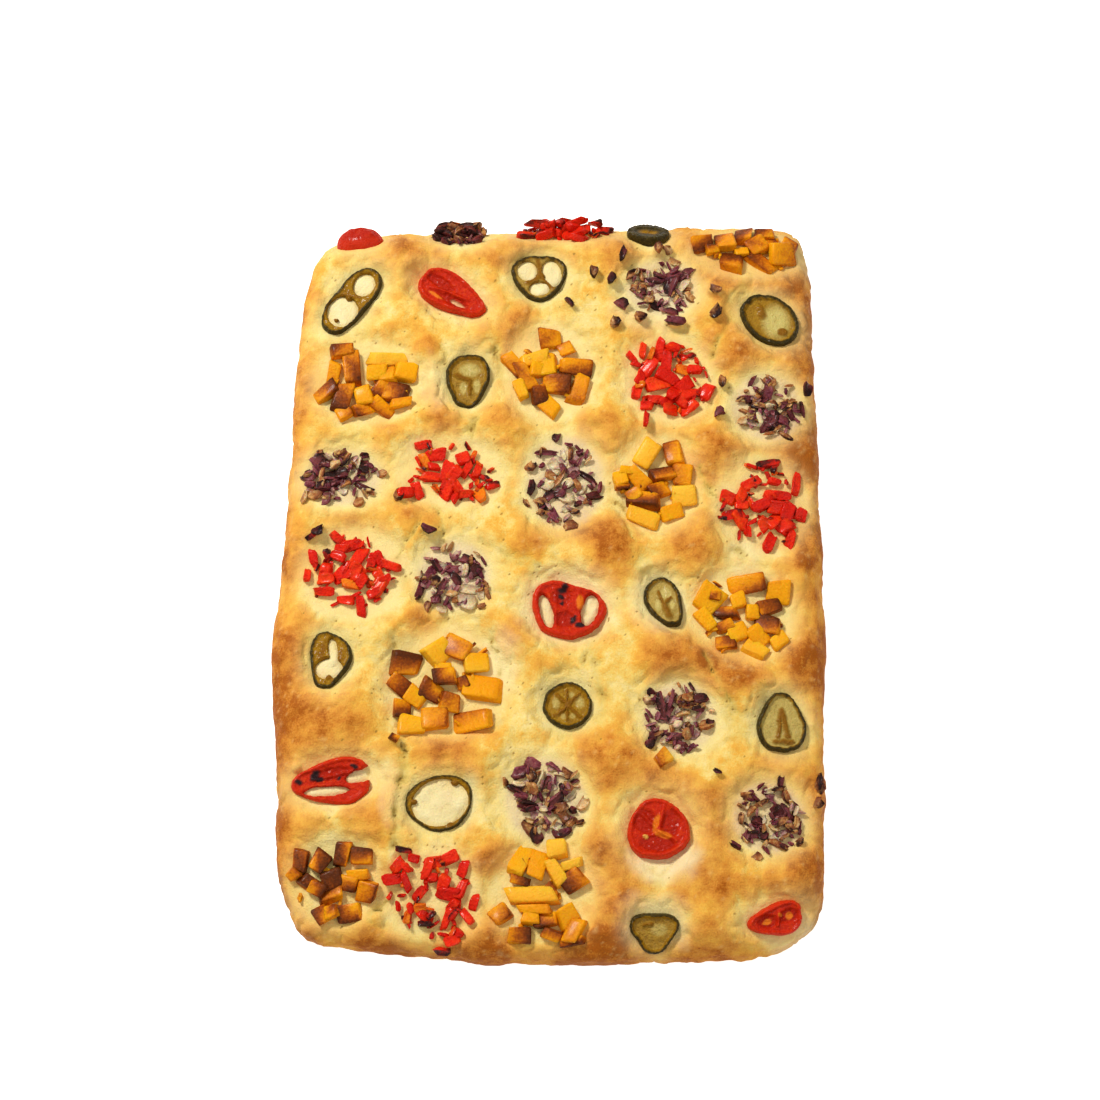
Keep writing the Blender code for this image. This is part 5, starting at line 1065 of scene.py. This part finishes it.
def roundedEdge(inside, width):  # 0 at the outline and 1 from that far inwards
    return np.sqrt(np.clip(1 - (1 - np.clip(inside / width, 0, 1)) ** 2, 0, 1))


def placeSlice(piece, spec, x, y, height, gone, top, tree):
    height = height * (1 - gone) + sliceLook["through"] * gone
    height = np.where(top, height, sliceLook["under"])
    movePoints(piece, np.stack([x, y, height], axis=1) * mm)
    piece.data.transform(layOn(tree, *spec["at"], min(spec["half"]) * 0.8))


def makeJalapeno(name, material, tree):
    spec = slices[name]
    piece, x, y, inside, top, rim, flat, seed = blankSlice(name, spec)
    wall, slim = spec["wall"], spec.get("slim", 1.0)
    wrinkle = noiseAt(rim, 0.10, seed) + 0.6 * noiseAt(flat, 1.3, seed + 9)
    wrinkle = wrinkle * sliceLook["crinkle"] * smooth(3.0, 0.4, inside)
    height = spec["thick"] * (0.35 + 0.65 * roundedEdge(inside, sliceLook["edge"])) + wrinkle
    wander = 0.45 * noiseAt(rim, 0.2, seed + 2) + 0.35 * noiseAt(flat, 1.1, seed + 6)
    skin = smooth(1.75 * slim, 0.95 * slim, inside + wander)
    height -= 0.6 * smooth(1.1 * slim, 1.9 * slim, inside) * (1 - 0.5 * noiseAt(flat, 2.2, seed))
    chamber = smooth(wall * 0.9, wall * 1.15, inside + 0.35 * noiseAt(flat, 3.0, seed + 5))
    bent = 0.6 * noiseAt(flat, 2.2, seed) + 0.35 * noiseAt(flat, 0.9, seed)
    rib = strokes(x + bent, y - bent, spec.get("ribs", ()), 1.15, 0.95)
    bits = [(at, (radius, radius * 0.8)) for at, radius in spec.get("bits", ())]
    rib = np.maximum(rib, ellipses(x + 0.5 * noiseAt(flat, 1.3, seed), y, bits, 0.3))
    # pale windows: membrane over the dough, on jalapeno_5 and jalapeno_11 partly a painted highlight
    pale = ellipses(x + 0.5 * noiseAt(flat, 1.8, seed + 3), y, spec.get("windows", ()), 0.45)
    pale = np.maximum(pale * spec.get("glow", 0.55), chamber * spec.get("pale", 0.3))
    gone = ellipses(x + 0.3 * noiseAt(flat, 2.0, seed + 1), y, spec.get("open", ()), 0.05)
    gone *= smooth(wall * 0.75, wall, inside) * (1 - rib)
    height -= chamber * (1 - rib) * 0.9 * spec.get("fill", 0.0)
    height += 0.16 * rib * (1 - skin) + 0.22 * noiseAt(flat, 0.9, seed + 3) * (1 - skin)
    placeSlice(piece, spec, x, y, height, gone, top, tree)
    setMask(piece, "skin", skin)
    setMask(piece, "rib", rib * (1 - skin))
    setMask(piece, "pale", pale * chamber * (1 - rib))
    finishPiece(piece, material, "jalapeno", name)


def makeTomato(name, material, tree):
    spec = slices[name]
    piece, x, y, inside, top, rim, flat, seed = blankSlice(name, spec)
    shift, wander = 0.45 * noiseAt(flat, 2.2, seed + 4), 0.9 * noiseAt(flat, 1.3, seed)
    gel, flesh, hollow = (
        ellipses(x + shift, y - shift, spec.get(key, ()), 0.25) for key in ("gels", "flesh", "hollows")
    )
    ridge = strokes(x, y + 0.5 * noiseAt(flat, 3.0, seed), spec.get("ridges", ()), 1, 0.8)
    pips = union(x, [ellipseMask(x, y, at, (1.15, 0.75), 0.25, at[0] * 40) for at in spec.get("seeds", ())])
    char = union(x, [
        ellipseMask(x + wander, y, at, (radius, radius * 0.62), 0.3, at[1] * 25)
        for at, radius in spec.get("chars", ())
    ])
    gone = np.zeros(len(x))
    if "wall" not in spec:  # a half that lies skin side up
        height = spec["thick"] * roundedEdge(inside, inside.max()) + 0.35 * noiseAt(flat, 3.0, seed)
        gel += 0.8
    else:
        wall, outer = spec["wall"], smooth(3.0, 0.5, inside)
        height = spec["thick"] * (0.3 + 0.7 * roundedEdge(inside, sliceLook["tomatoEdge"]))
        height += 0.8 * noiseAt(rim, 0.3, seed) * outer + 0.3 * noiseAt(rim, 0.1, seed) * outer
        height -= 0.8 * smooth(wall * 0.8, wall * 1.5, inside)
        gone = ellipses(x + shift, y - shift, spec.get("open", ()), 0.08)
        gone *= smooth(wall * 0.6, wall * 0.9, inside) * (1 - char)
        gone = np.maximum(gone, ellipses(x + shift, y - shift, spec.get("torn", ()), 0.10))
        height -= 1.1 * gel + 1.5 * hollow
        height += 0.9 * ridge * smooth(wall * 0.5, wall, inside) + 0.5 * pips + 0.3 * char
        height += 0.35 * noiseAt(flat, 1.4, seed + 7) * smooth(1.0, 2.5, inside) * (0.4 + gel)
    placeSlice(piece, spec, x, y, height, gone, top, tree)
    masks = dict(rim=smooth(2.0, 0.6, inside), gel=gel, flesh=flesh, seed=pips, char=char, hollow=hollow)
    for key, values in masks.items():
        setMask(piece, key, values)
    finishPiece(piece, material, "tomato", name)


# The slices' colours: a ramp for the flesh, then mask, share and tone or ramp of each tint
sliceTones = {
    "jalapeno": dict(
        grain=(420, 1500, 0.5), coat=0.12, soft=0.10,
        flesh=((0.2, (0.15, 0.060, 0.001)), (0.5, (0.33, 0.155, 0.002)), (0.85, (0.52, 0.31, 0.010))),
        tints=(
            # the pale tint paints chambers and windows, on some slices partly as a painted highlight
            ("pale", 1.0, ((0.2, (0.50, 0.38, 0.07)), (0.8, (0.78, 0.67, 0.26)))),
            ("rib", 0.8, (0.23, 0.090, 0.003)),
            ("skin", 1.0, (
                (0.3, (0.013, 0.009, 0.002)), (0.55, (0.052, 0.034, 0.004)), (0.9, (0.16, 0.11, 0.012)),
            )),
        ),
    ),
    "tomato": dict(
        grain=(330, 1300, 0.5), coat=0.10, soft=0.15,
        flesh=((0.2, (0.36, 0.007, 0.001)), (0.55, (0.60, 0.020, 0.001)), (0.85, (0.78, 0.11, 0.003))),
        tints=(
            ("gel", 0.6, (0.36, 0.008, 0.001)), ("rim", 0.5, (0.68, 0.035, 0.005)),
            ("flesh", 0.8, (0.84, 0.22, 0.012)), ("hollow", 1.0, (0.76, 0.46, 0.24)),
            ("seed", 1.0, (0.88, 0.48, 0.09)), ("char", 1.0, (0.024, 0.008, 0.010)),
        ),
    ),
}


def makeSliceMaterial(kind):
    look = sliceTones[kind]
    material, tree = newMaterial("roasted" + kind.title())
    value, height = grainNode(tree, *look["grain"])
    place = mathNode(tree, "ADD", 0.5, value)
    colour = rampNode(tree, place, look["flesh"])
    for mask, share, tone in look["tints"]:
        tone = rampNode(tree, place, tone) if isinstance(tone[0], tuple) else tone
        colour = tintNode(tree, colour, mask, share, tone)
    moistFinish(tree, colour, height, 0.6 * mm, look["coat"], look["soft"])
    return material


# Heaps: each die is a rounded blank, copied at its own size, turn and toast. A blank has the place of
# its inner edges and how far its corners are drawn in.

cuts = {
    "yellow_pepper": dict(
        blank=(0.37, 0.93), thickness=4.4 * mm, grow=1.10, crumbs=12,
        lean=10, warp=0.10, bend=0.0, cup=-0.06, pinch=0.05,
    ),
    "red_pepper": dict(
        blank=(0.32, 0.86), thickness=3.0 * mm, grow=1.16, crumbs=34,
        lean=14, warp=0.16, bend=0.5, cup=0.25, pinch=0.25,
    ),
    "red_onion": dict(
        blank=(0.22, 0.84), thickness=2.0 * mm, grow=1.10, crumbs=56,
        lean=17, warp=0.16, bend=1.4, cup=0.50, pinch=0.42,
    ),
}
heapRule = dict(spread=0.15, taper=0.14, sink=0.22, crowdReach=6 * mm, crowdLift=0.25, inset=0.1 * mm)
secondLayer = dict(narrow=0.8, shallow=0.6, back=1.2, turn=50, lift=0.75)
tintOf = dict(p=0.14, d=0.04, w=0.62, t=0.82, b=0.97, o=1.0)


def heapPieces(name):
    heap, cut = heaps[name], cuts[kindOf(name)]
    pieces = []
    for level in range(heap.get("levels", 1)):  # a second layer lies a little farther back
        for x, y, length, width, turn, toast, *tone in dice[name]:
            draw = random.Random("%.1f %.1f" % (x, y) + " 1" * level)
            if level:
                x, y = x * secondLayer["narrow"], y * secondLayer["shallow"] + secondLayer["back"]
                turn += draw.uniform(-secondLayer["turn"], secondLayer["turn"])
            place = (heap["at"][0] + x * mm, heap["at"][1] + y * mm)
            crowd = sum(1 for other in pieces if math.dist(place, other["at"]) < heapRule["crowdReach"])
            thickness = cut["thickness"] * draw.uniform(1 - heapRule["spread"], 1 + heapRule["spread"])
            thickness *= heap.get("tall", 1)
            lift = min(crowd, 2) * cut["thickness"] * heapRule["crowdLift"]
            piece = dict(
                at=place, sides=(length * cut["grow"] * mm, width * cut["grow"] * mm, thickness), turn=turn,
                lean=[draw.gauss(0, cut["lean"]) for _ in range(2)],
                taper=[draw.uniform(-heapRule["taper"], heapRule["taper"]) for _ in range(4)],
                lift=lift + level * thickness * secondLayer["lift"], toast=toast / 100 + heap.get("dark", 0),
            )
            freshYellow = toast < 13 and kindOf(name) == "yellow_pepper"
            piece["tint"] = tintOf[tone[0]] if tone else draw.uniform(0, 0.5) + 0.4 * freshYellow
            pieces.append(piece)
    return pieces


# Small offcuts between the dice, and thin pale layers of onion at the bottom: sides in millimetres
crumbLook = dict(sides=((2.2, 5.2), (1.0, 2.1), (1.0, 1.7)), reach=0.9, lean=20, lift=(0.2, 1.6), toast=0.7)
crumbTints = (0.0, 0.1, 0.14, 0.2, 0.3, 0.45, 0.8, 0.95)
flakeLook = dict(sides=((3.5, 7.0), (2.4, 4.2), (0.5, 0.8)), reach=0.6, lean=5, tint=(0.36, 0.60), usual=0.16)


def crumbPieces(name):
    heap, draw = heaps[name], random.Random(name)
    for _ in range(cuts[kindOf(name)]["crumbs"]):
        flake = kindOf(name) == "red_onion" and draw.random() < heap.get("pale", flakeLook["usual"])
        look = flakeLook if flake else crumbLook
        angle = draw.uniform(0, 2 * math.pi)
        share = math.sqrt(draw.random()) * look["reach"]
        ways = (math.cos(angle), math.sin(angle))
        yield dict(
            at=[middle + half * share * way for middle, half, way in zip(heap["at"], heap["half"], ways)],
            sides=[draw.uniform(*span) * mm for span in look["sides"]], turn=draw.uniform(0, 360),
            lean=[draw.gauss(0, look["lean"]) for _ in range(2)],
            lift=0 if flake else draw.uniform(*look["lift"]) * mm,
            taper=[draw.uniform(-0.2, 0.2) for _ in range(4)],
            toast=0 if flake else draw.uniform(0, look["toast"]) + heap.get("dark", 0),
            tint=draw.uniform(*look["tint"]) if flake else draw.choice(crumbTints),
        )


# Scraps that lie apart: x, y, length and width in millimetres, turn, toast in hundredths and tone
scraps = {
    "yellow_pepper": (
        (47.6, -83.0, 7.4, 6.6, 40, 25, "o"), (-65.0, -74.5, 4.0, 2.8, -25, 60, "p"),
    ),
    "red_pepper": (
        (42.5, 69.0, 7.6, 2.4, 80, 20, "p"),
    ),
    "red_onion": (
        (20.0, 139.5, 5.0, 4.0, 80, 60, "b"), (27.8, 136.5, 5.2, 3.6, 60, 70, "d"),
        (33.0, 148.0, 6.2, 3.0, 70, 90, "d"), (37.0, 139.5, 6.0, 3.6, 30, 60, "b"),
        (32.2, 124.0, 5.6, 5.0, -35, 50, "p"), (29.3, 115.0, 5.0, 4.4, 70, 50, "t"),
        (40.5, 118.0, 5.2, 4.2, -20, 50, "b"), (56.0, 116.0, 9.0, 4.2, -12, 40, "p"),
        (74.0, 119.5, 7.2, 4.6, 50, 70, "b"), (74.2, 130.2, 5.0, 3.6, -20, 50, "b"),
        (-52.2, 18.0, 6.6, 3.6, -25, 60, "d"), (76.4, 87.2, 5.0, 3.4, 80, 50, "b"),
        (74.8, 72.0, 4.6, 3.6, 20, 40, "p"), (-65.5, 33.5, 5.2, 4.6, 60, 50, "b"),
        (70.4, -89.0, 3.4, 1.8, -35, 80, "d"), (114.0, 84.0, 6.0, 3.4, 88, 80, "d"),
        (113.5, -92.5, 8.0, 3.6, 80, 60, "b"), (112.2, -101.2, 5.0, 3.2, 60, 60, "b"),
        (-100.0, 18.0, 5.2, 3.8, 30, 95, "d"), (9.0, 125.0, 5.2, 2.0, -50, 80, "d"),
        (49.6, 151.2, 4.5, 3.6, 60, 50, "b"), (53.0, 150.8, 5.4, 3.2, -40, 30, "t"),
    ),
}
scrapLook = dict(thickness=3.4 * mm, lift=-0.6 * mm, taper=(0, 0, 0.15, 0.1), toast=0.18)


def scrapPieces(kind):
    for x, y, length, width, turn, toast, tone in scraps[kind]:
        yield dict(
            at=(x * mm, y * mm), sides=(length * mm, width * mm, scrapLook["thickness"]), turn=turn,
            lean=(0, 0), lift=scrapLook["lift"], taper=scrapLook["taper"],
            toast=toast / 100 + scrapLook["toast"], tint=tintOf[tone],
        )


def dieBlank(inner, corner):
    deselect()
    bpy.ops.mesh.primitive_cube_add(size=1)
    blank = bpy.context.object
    bpy.ops.object.mode_set(mode="EDIT")
    bpy.ops.mesh.subdivide(number_cuts=2)
    bpy.ops.object.mode_set(mode="OBJECT")
    points = pointsOf(blank)
    points = np.where(np.abs(points) < 0.4, np.sign(points) * inner, points)
    outer = np.sum(np.abs(points) > 0.45, axis=1)
    points *= np.choose(outer, [1, 1, (1 + corner) / 2, corner])[:, None]
    faces = [tuple(face.vertices) for face in blank.data.polygons]
    bpy.data.objects.remove(blank)
    return points, faces


def shapeDie(blank, piece, cut, number):
    points = blank.copy()
    u, v, w = blank.T
    tiltX, tiltY, squeeze, skew = piece["taper"]
    points[:, 0] += np.clip(w + 0.5, 0, 1) * tiltX + skew * v
    points[:, 1] += np.clip(w + 0.5, 0, 1) * tiltY
    points[:, 1] *= 1 + squeeze * np.clip(u * 2, -1, 1)
    points[:, 1:] *= (1 - cut["pinch"] * (2 * u) ** 2)[:, None]
    bend = random.Random(number).uniform(-cut["bend"], cut["bend"])
    points[:, 1] += bend * (u * u - 0.12)
    points[:, 2] += 0.35 * abs(bend) * (u * u - 0.1) + cut["cup"] * (4 * v * v - 0.5)
    points += cut["warp"] * np.stack([noiseAt(points, 0.5, number * 1.7 + k) for k in (0, 31, 62)], axis=1)
    return points * np.array(piece["sides"])


def toastOf(blank, piece, number):
    u, v, w = blank.T
    draw = random.Random(number)
    drift, _ = turned(u, v, draw.uniform(0, 2 * math.pi))
    # the sides and rims of each die grow darker: partly toast, partly painted shade
    edge = (np.maximum(np.abs(u), np.abs(v)) * 2) ** 3
    patch = noiseAt(blank, 0.45, number * 2.3)
    burnt = piece["toast"] * (0.62 + 0.38 * np.clip(w + 0.5, 0, 1))
    toast = burnt * (1 + 0.9 * drift + 0.9 * patch) + 0.12 * edge * (0.3 + piece["toast"])
    rind = smooth(0.05, 0.48, v * draw.choice((-1, 1)) + 0.15 * patch)
    return dict(toast=toast, tint=piece["tint"] + 0.22 * patch, rind=rind)


def layPiece(points, piece, tree):
    rise = piece["sides"][2] * (0.5 - heapRule["sink"]) + piece["lift"]
    leanX, leanY, turn = (math.radians(angle) for angle in (*piece["lean"], piece["turn"]))
    lean = Matrix.Rotation(leanX, 4, "X") @ Matrix.Rotation(leanY, 4, "Y")
    place = layOn(tree, *piece["at"], piece["sides"][1]) @ Matrix.Translation((0, 0, rise))
    place = np.array(place @ Matrix.Rotation(turn, 4, "Z") @ lean)
    return points @ place[:3, :3].T + place[:3, 3]


def joinDice(name, parts, faces, masks):
    count = len(parts[0])
    loops = [tuple(index + k * count for index in face) for k in range(len(parts)) for face in faces]
    mesh = bpy.data.meshes.new(name)
    mesh.from_pydata(np.concatenate(parts).tolist(), [], loops)
    piece = bpy.data.objects.new(name, mesh)
    bpy.context.scene.collection.objects.link(piece)
    for key in masks[0]:
        setMask(piece, key, np.concatenate([mask[key] for mask in masks]))
    return piece


def makeDice(name, kind, pieces, tree, node):
    blank, faces = blanks[kind]
    parts, masks = [], []
    for number, piece in enumerate(pieces, seedOf(name)):
        parts.append(layPiece(shapeDie(blank, piece, cuts[kind], number), piece, tree))
        masks.append(toastOf(blank, piece, number))
    made = joinDice(name, parts, faces, masks)
    low, high = np.array(cadBox)
    movePoints(made, np.clip(pointsOf(made), low + heapRule["inset"], high - heapRule["inset"]))
    finishPiece(made, finishes[kind], kind, node)


# The dice's colours: tints by nature, toasts by heat, the rind's tone and share, and when toast starts
diceTones = {
    "yellow_pepper": dict(
        tints=((0.0, (0.88, 0.36, 0.002)), (0.5, (0.90, 0.43, 0.004)), (1.0, (0.94, 0.60, 0.06))),
        toasts=(
            (0.0, (0.88, 0.40, 0.004)), (0.3, (0.80, 0.27, 0.003)), (0.55, (0.58, 0.15, 0.003)),
            (0.8, (0.27, 0.055, 0.003)), (1.0, (0.10, 0.022, 0.004)),
        ),
        rind=(0.4, (0.82, 0.27, 0.002)), start=0.05, gain=1.6, grain=0.36, relief=0.5 * mm,
        coat=0.07, soft=0.20,
    ),
    "red_pepper": dict(
        tints=(
            (0.0, (0.68, 0.008, 0.001)), (0.35, (0.90, 0.024, 0.002)), (0.7, (0.95, 0.085, 0.003)),
            (1.0, (0.94, 0.24, 0.005)),
        ),
        toasts=(
            (0.0, (0.70, 0.010, 0.002)), (0.4, (0.48, 0.010, 0.003)), (0.7, (0.15, 0.008, 0.005)),
            (1.0, (0.03, 0.006, 0.005)),
        ),
        rind=(0.4, (0.60, 0.006, 0.001)), start=0.2, gain=1.6, grain=0.62, relief=0.9 * mm,
        coat=0.19, soft=0.30,
    ),
    "red_onion": dict(
        tints=(
            (0.0, (0.11, 0.014, 0.026)), (0.2, (0.29, 0.070, 0.090)), (0.4, (0.54, 0.27, 0.24)),
            (0.62, (0.86, 0.69, 0.40)), (0.82, (0.64, 0.35, 0.12)), (1.0, (0.38, 0.125, 0.035)),
        ),
        toasts=(
            (0.0, (0.32, 0.10, 0.07)), (0.4, (0.26, 0.075, 0.025)), (0.7, (0.085, 0.020, 0.010)),
            (1.0, (0.022, 0.007, 0.006)),
        ),
        rind=(0.55, (0.065, 0.008, 0.022)), start=0.42, gain=1.9, grain=0.40, relief=0.6 * mm,
        coat=0.12, soft=0.30,
    ),
}


def makeDiceMaterial(kind):
    look = diceTones[kind]
    material, tree = newMaterial("roasted_" + kind)
    value, height = grainNode(tree, 330, 1000, look["grain"])
    tint = mathNode(tree, "ADD", maskNode(tree, "tint"), value, clamp=True)
    toast = mathNode(tree, "ADD", maskNode(tree, "toast"), value, clamp=True)
    colour = tintNode(tree, rampNode(tree, tint, look["tints"]), "rind", *look["rind"])
    share = mathNode(tree, "SUBTRACT", toast, look["start"])
    share = mathNode(tree, "MULTIPLY", share, look["gain"], clamp=True)
    colour = mixNode(tree, share, colour, rampNode(tree, toast, look["toasts"]))
    moistFinish(tree, colour, height, look["relief"], look["coat"], look["soft"])
    return material


makeCamera()
makeLights()
makeFloor()
print("camera, lights and floor are set")

makeLoaf(makeCrustMaterial())

solidTree = surfaceTree(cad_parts["bread"])
makers = dict(jalapeno=makeJalapeno, tomato=makeTomato)
finishes = {kind: makeSliceMaterial(kind) for kind in makers}
for name in slices:
    makers[kindOf(name)](name, finishes[kindOf(name)], solidTree)
print("slices:", len(slices))

blanks = {kind: dieBlank(*cut["blank"]) for kind, cut in cuts.items()}
finishes |= {kind: makeDiceMaterial(kind) for kind in cuts}
for name in heaps:
    makeDice(name + "_heap", kindOf(name), heapPieces(name) + list(crumbPieces(name)), solidTree, name)
for kind in cuts:
    makeDice(kind + "_scraps", kind, scrapPieces(kind), solidTree, "bread")
print("heaps:", len(heaps))
